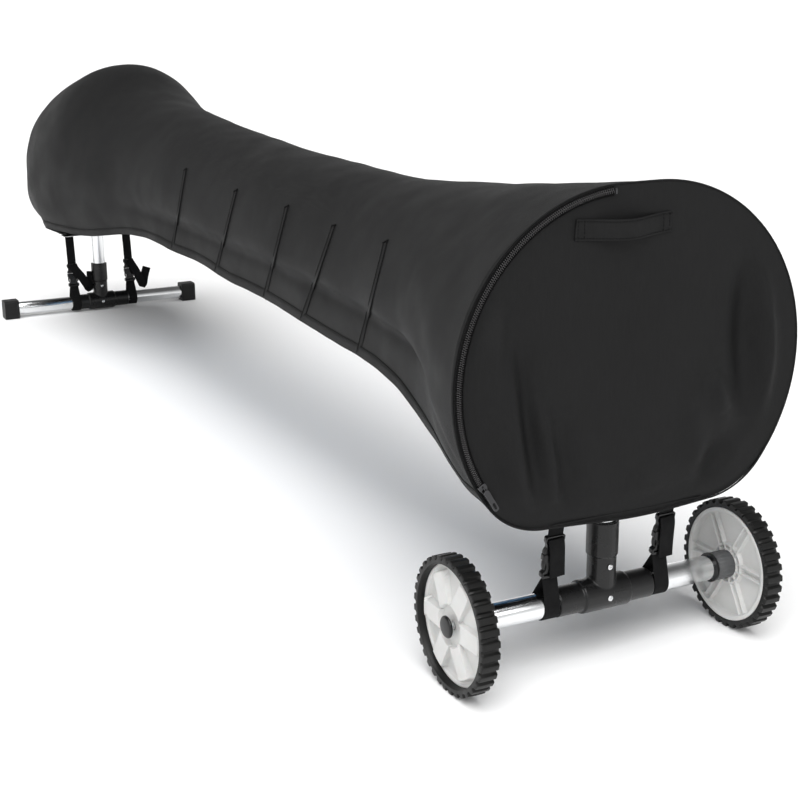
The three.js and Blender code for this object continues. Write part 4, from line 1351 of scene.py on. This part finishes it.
def build_axle_bush(side):
    """The bush that closes the axle tube's end: a thin collar outside, a spigot inside."""
    sign = -1 if side == "left" else 1
    tube_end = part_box("near_axle_tube")[1].y
    profile = [(6.4, -8), (16, -8), (16, 0.2), (22.5, 0.2), (22.5, 4.8), (6.4, 4.8)]
    profile = [(radius * MM, sign * (tube_end + along * MM)) for radius, along in profile]
    centre = (near_x, 0, wheel_z)
    bush = lathe_piece(f"{side}_collar", profile, "Y", centre, "black_plastic", 72, 0.6 * MM)
    place_piece(bush, "frame", "black_plastic", f"{side}_axle_bush")


def build_stands():
    build_stand("near")
    build_stand("far")
    tube_piece("near_axle_tube", "axle_tube", "Y", "tube_across")
    tube_piece("far_foot_tube", "foot_tube", "Y", "tube_across")
    for side in ("left", "right"):
        soften(f"far_foot_cap_{side}", 1.1 * MM, 3, "cap_rubber")
        build_axle_bush(side)
    dress("axle_rod", "steel")


# ---------- reel ----------
def build_roll():
    """The wound pool blanket as one spiral sheet, its edges a little uneven from turn to turn."""
    low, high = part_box("blanket_roll")
    inner, outer = 39.5 * MM, (high.z - low.z) / 2 - 1 * MM
    pitch = 6.4 * MM
    turns = (outer - inner) / pitch
    angle = np.linspace(0, turns * 2 * math.pi, int(turns * 64))[:, None]
    radius = inner + pitch * angle / (2 * math.pi) + 0.35 * MM * np.sin(angle * 1.7)
    drift = 2.2 * MM * np.sin(angle * 0.37) + 1.0 * MM * np.sin(angle * 1.9)
    across = np.linspace(0, 1, 23)
    x = low.x + 4 * MM + across * (high.x - low.x - 8 * MM) + drift
    y = radius * np.cos(angle) * np.ones(23)
    z = reel_z + radius * np.sin(angle) * np.ones(23)
    roll = grid_piece("pool_blanket", np.stack([x, y, z], axis=-1), "bubble_film")
    settle(roll, thicken(4.2 * MM, 0.0))
    return place_piece(roll, "reel", "bubble_film", "blanket_roll")


def build_reel():
    for part in ("middle", "near", "far"):
        node = "reel_tube_" + part
        tube_piece(node, node + "_skin", "X", "tube_long", "reel")
    for side in ("near", "far"):
        soften(f"{side}_hand_wheel", 2.2 * MM, 6, "black_plastic")
        dress(f"{side}_end_plug", "black_plastic")
        dress(f"{side}_shaft_bolt", "steel")
    return build_roll()


# ---------- the whole object ----------
materials = make_materials()
add_camera()
add_floor()
add_sky()
add_light("key", "SUN", (1.2, -0.9, 2.8), (0, 0, 0), energy=3.8, angle=math.radians(60))
lit_end = (1.3, 0, 0.4)
softbox = {"shape": "RECTANGLE", "size": 1.6, "size_y": 0.8, "energy": 12}
add_light("left_softbox", "AREA", (2.2, -3.4, 1.3), lit_end, **softbox)
softbox.update(size=1.2, size_y=1.6, energy=10)
add_light("front_softbox", "AREA", (4.2, 0.4, 2.0), lit_end, **softbox)

sleeve = build_sleeve()
side_seams, seam_rows = build_side_seams()
sleeve_hem, hem_rows = build_hem()
stitches = stitch_piece("sleeve_stitches", seam_rows + hem_rows)
near_panel, near_edge = build_panel("near", 1, near_outline, 300, 64, 0.45, near_depth, 125 * MM)
far_panel, far_edge = build_panel("far", -1, far_outline, 260, 44, 0.43, far_depth, 94 * MM)
handle, handle_rows = build_handle()
zip_rows = build_zip()
panel_stitches = stitch_piece("panel_stitches", handle_rows + zip_rows)
build_slider()
for strap_name in STRAPS:
    build_strap(strap_name)
build_wheel("left", -1)
build_wheel("right", 1)
build_stands()
pool_blanket = build_reel()

bpy.context.scene.view_settings.view_transform = "Standard"
bpy.context.scene.view_settings.look = "None"
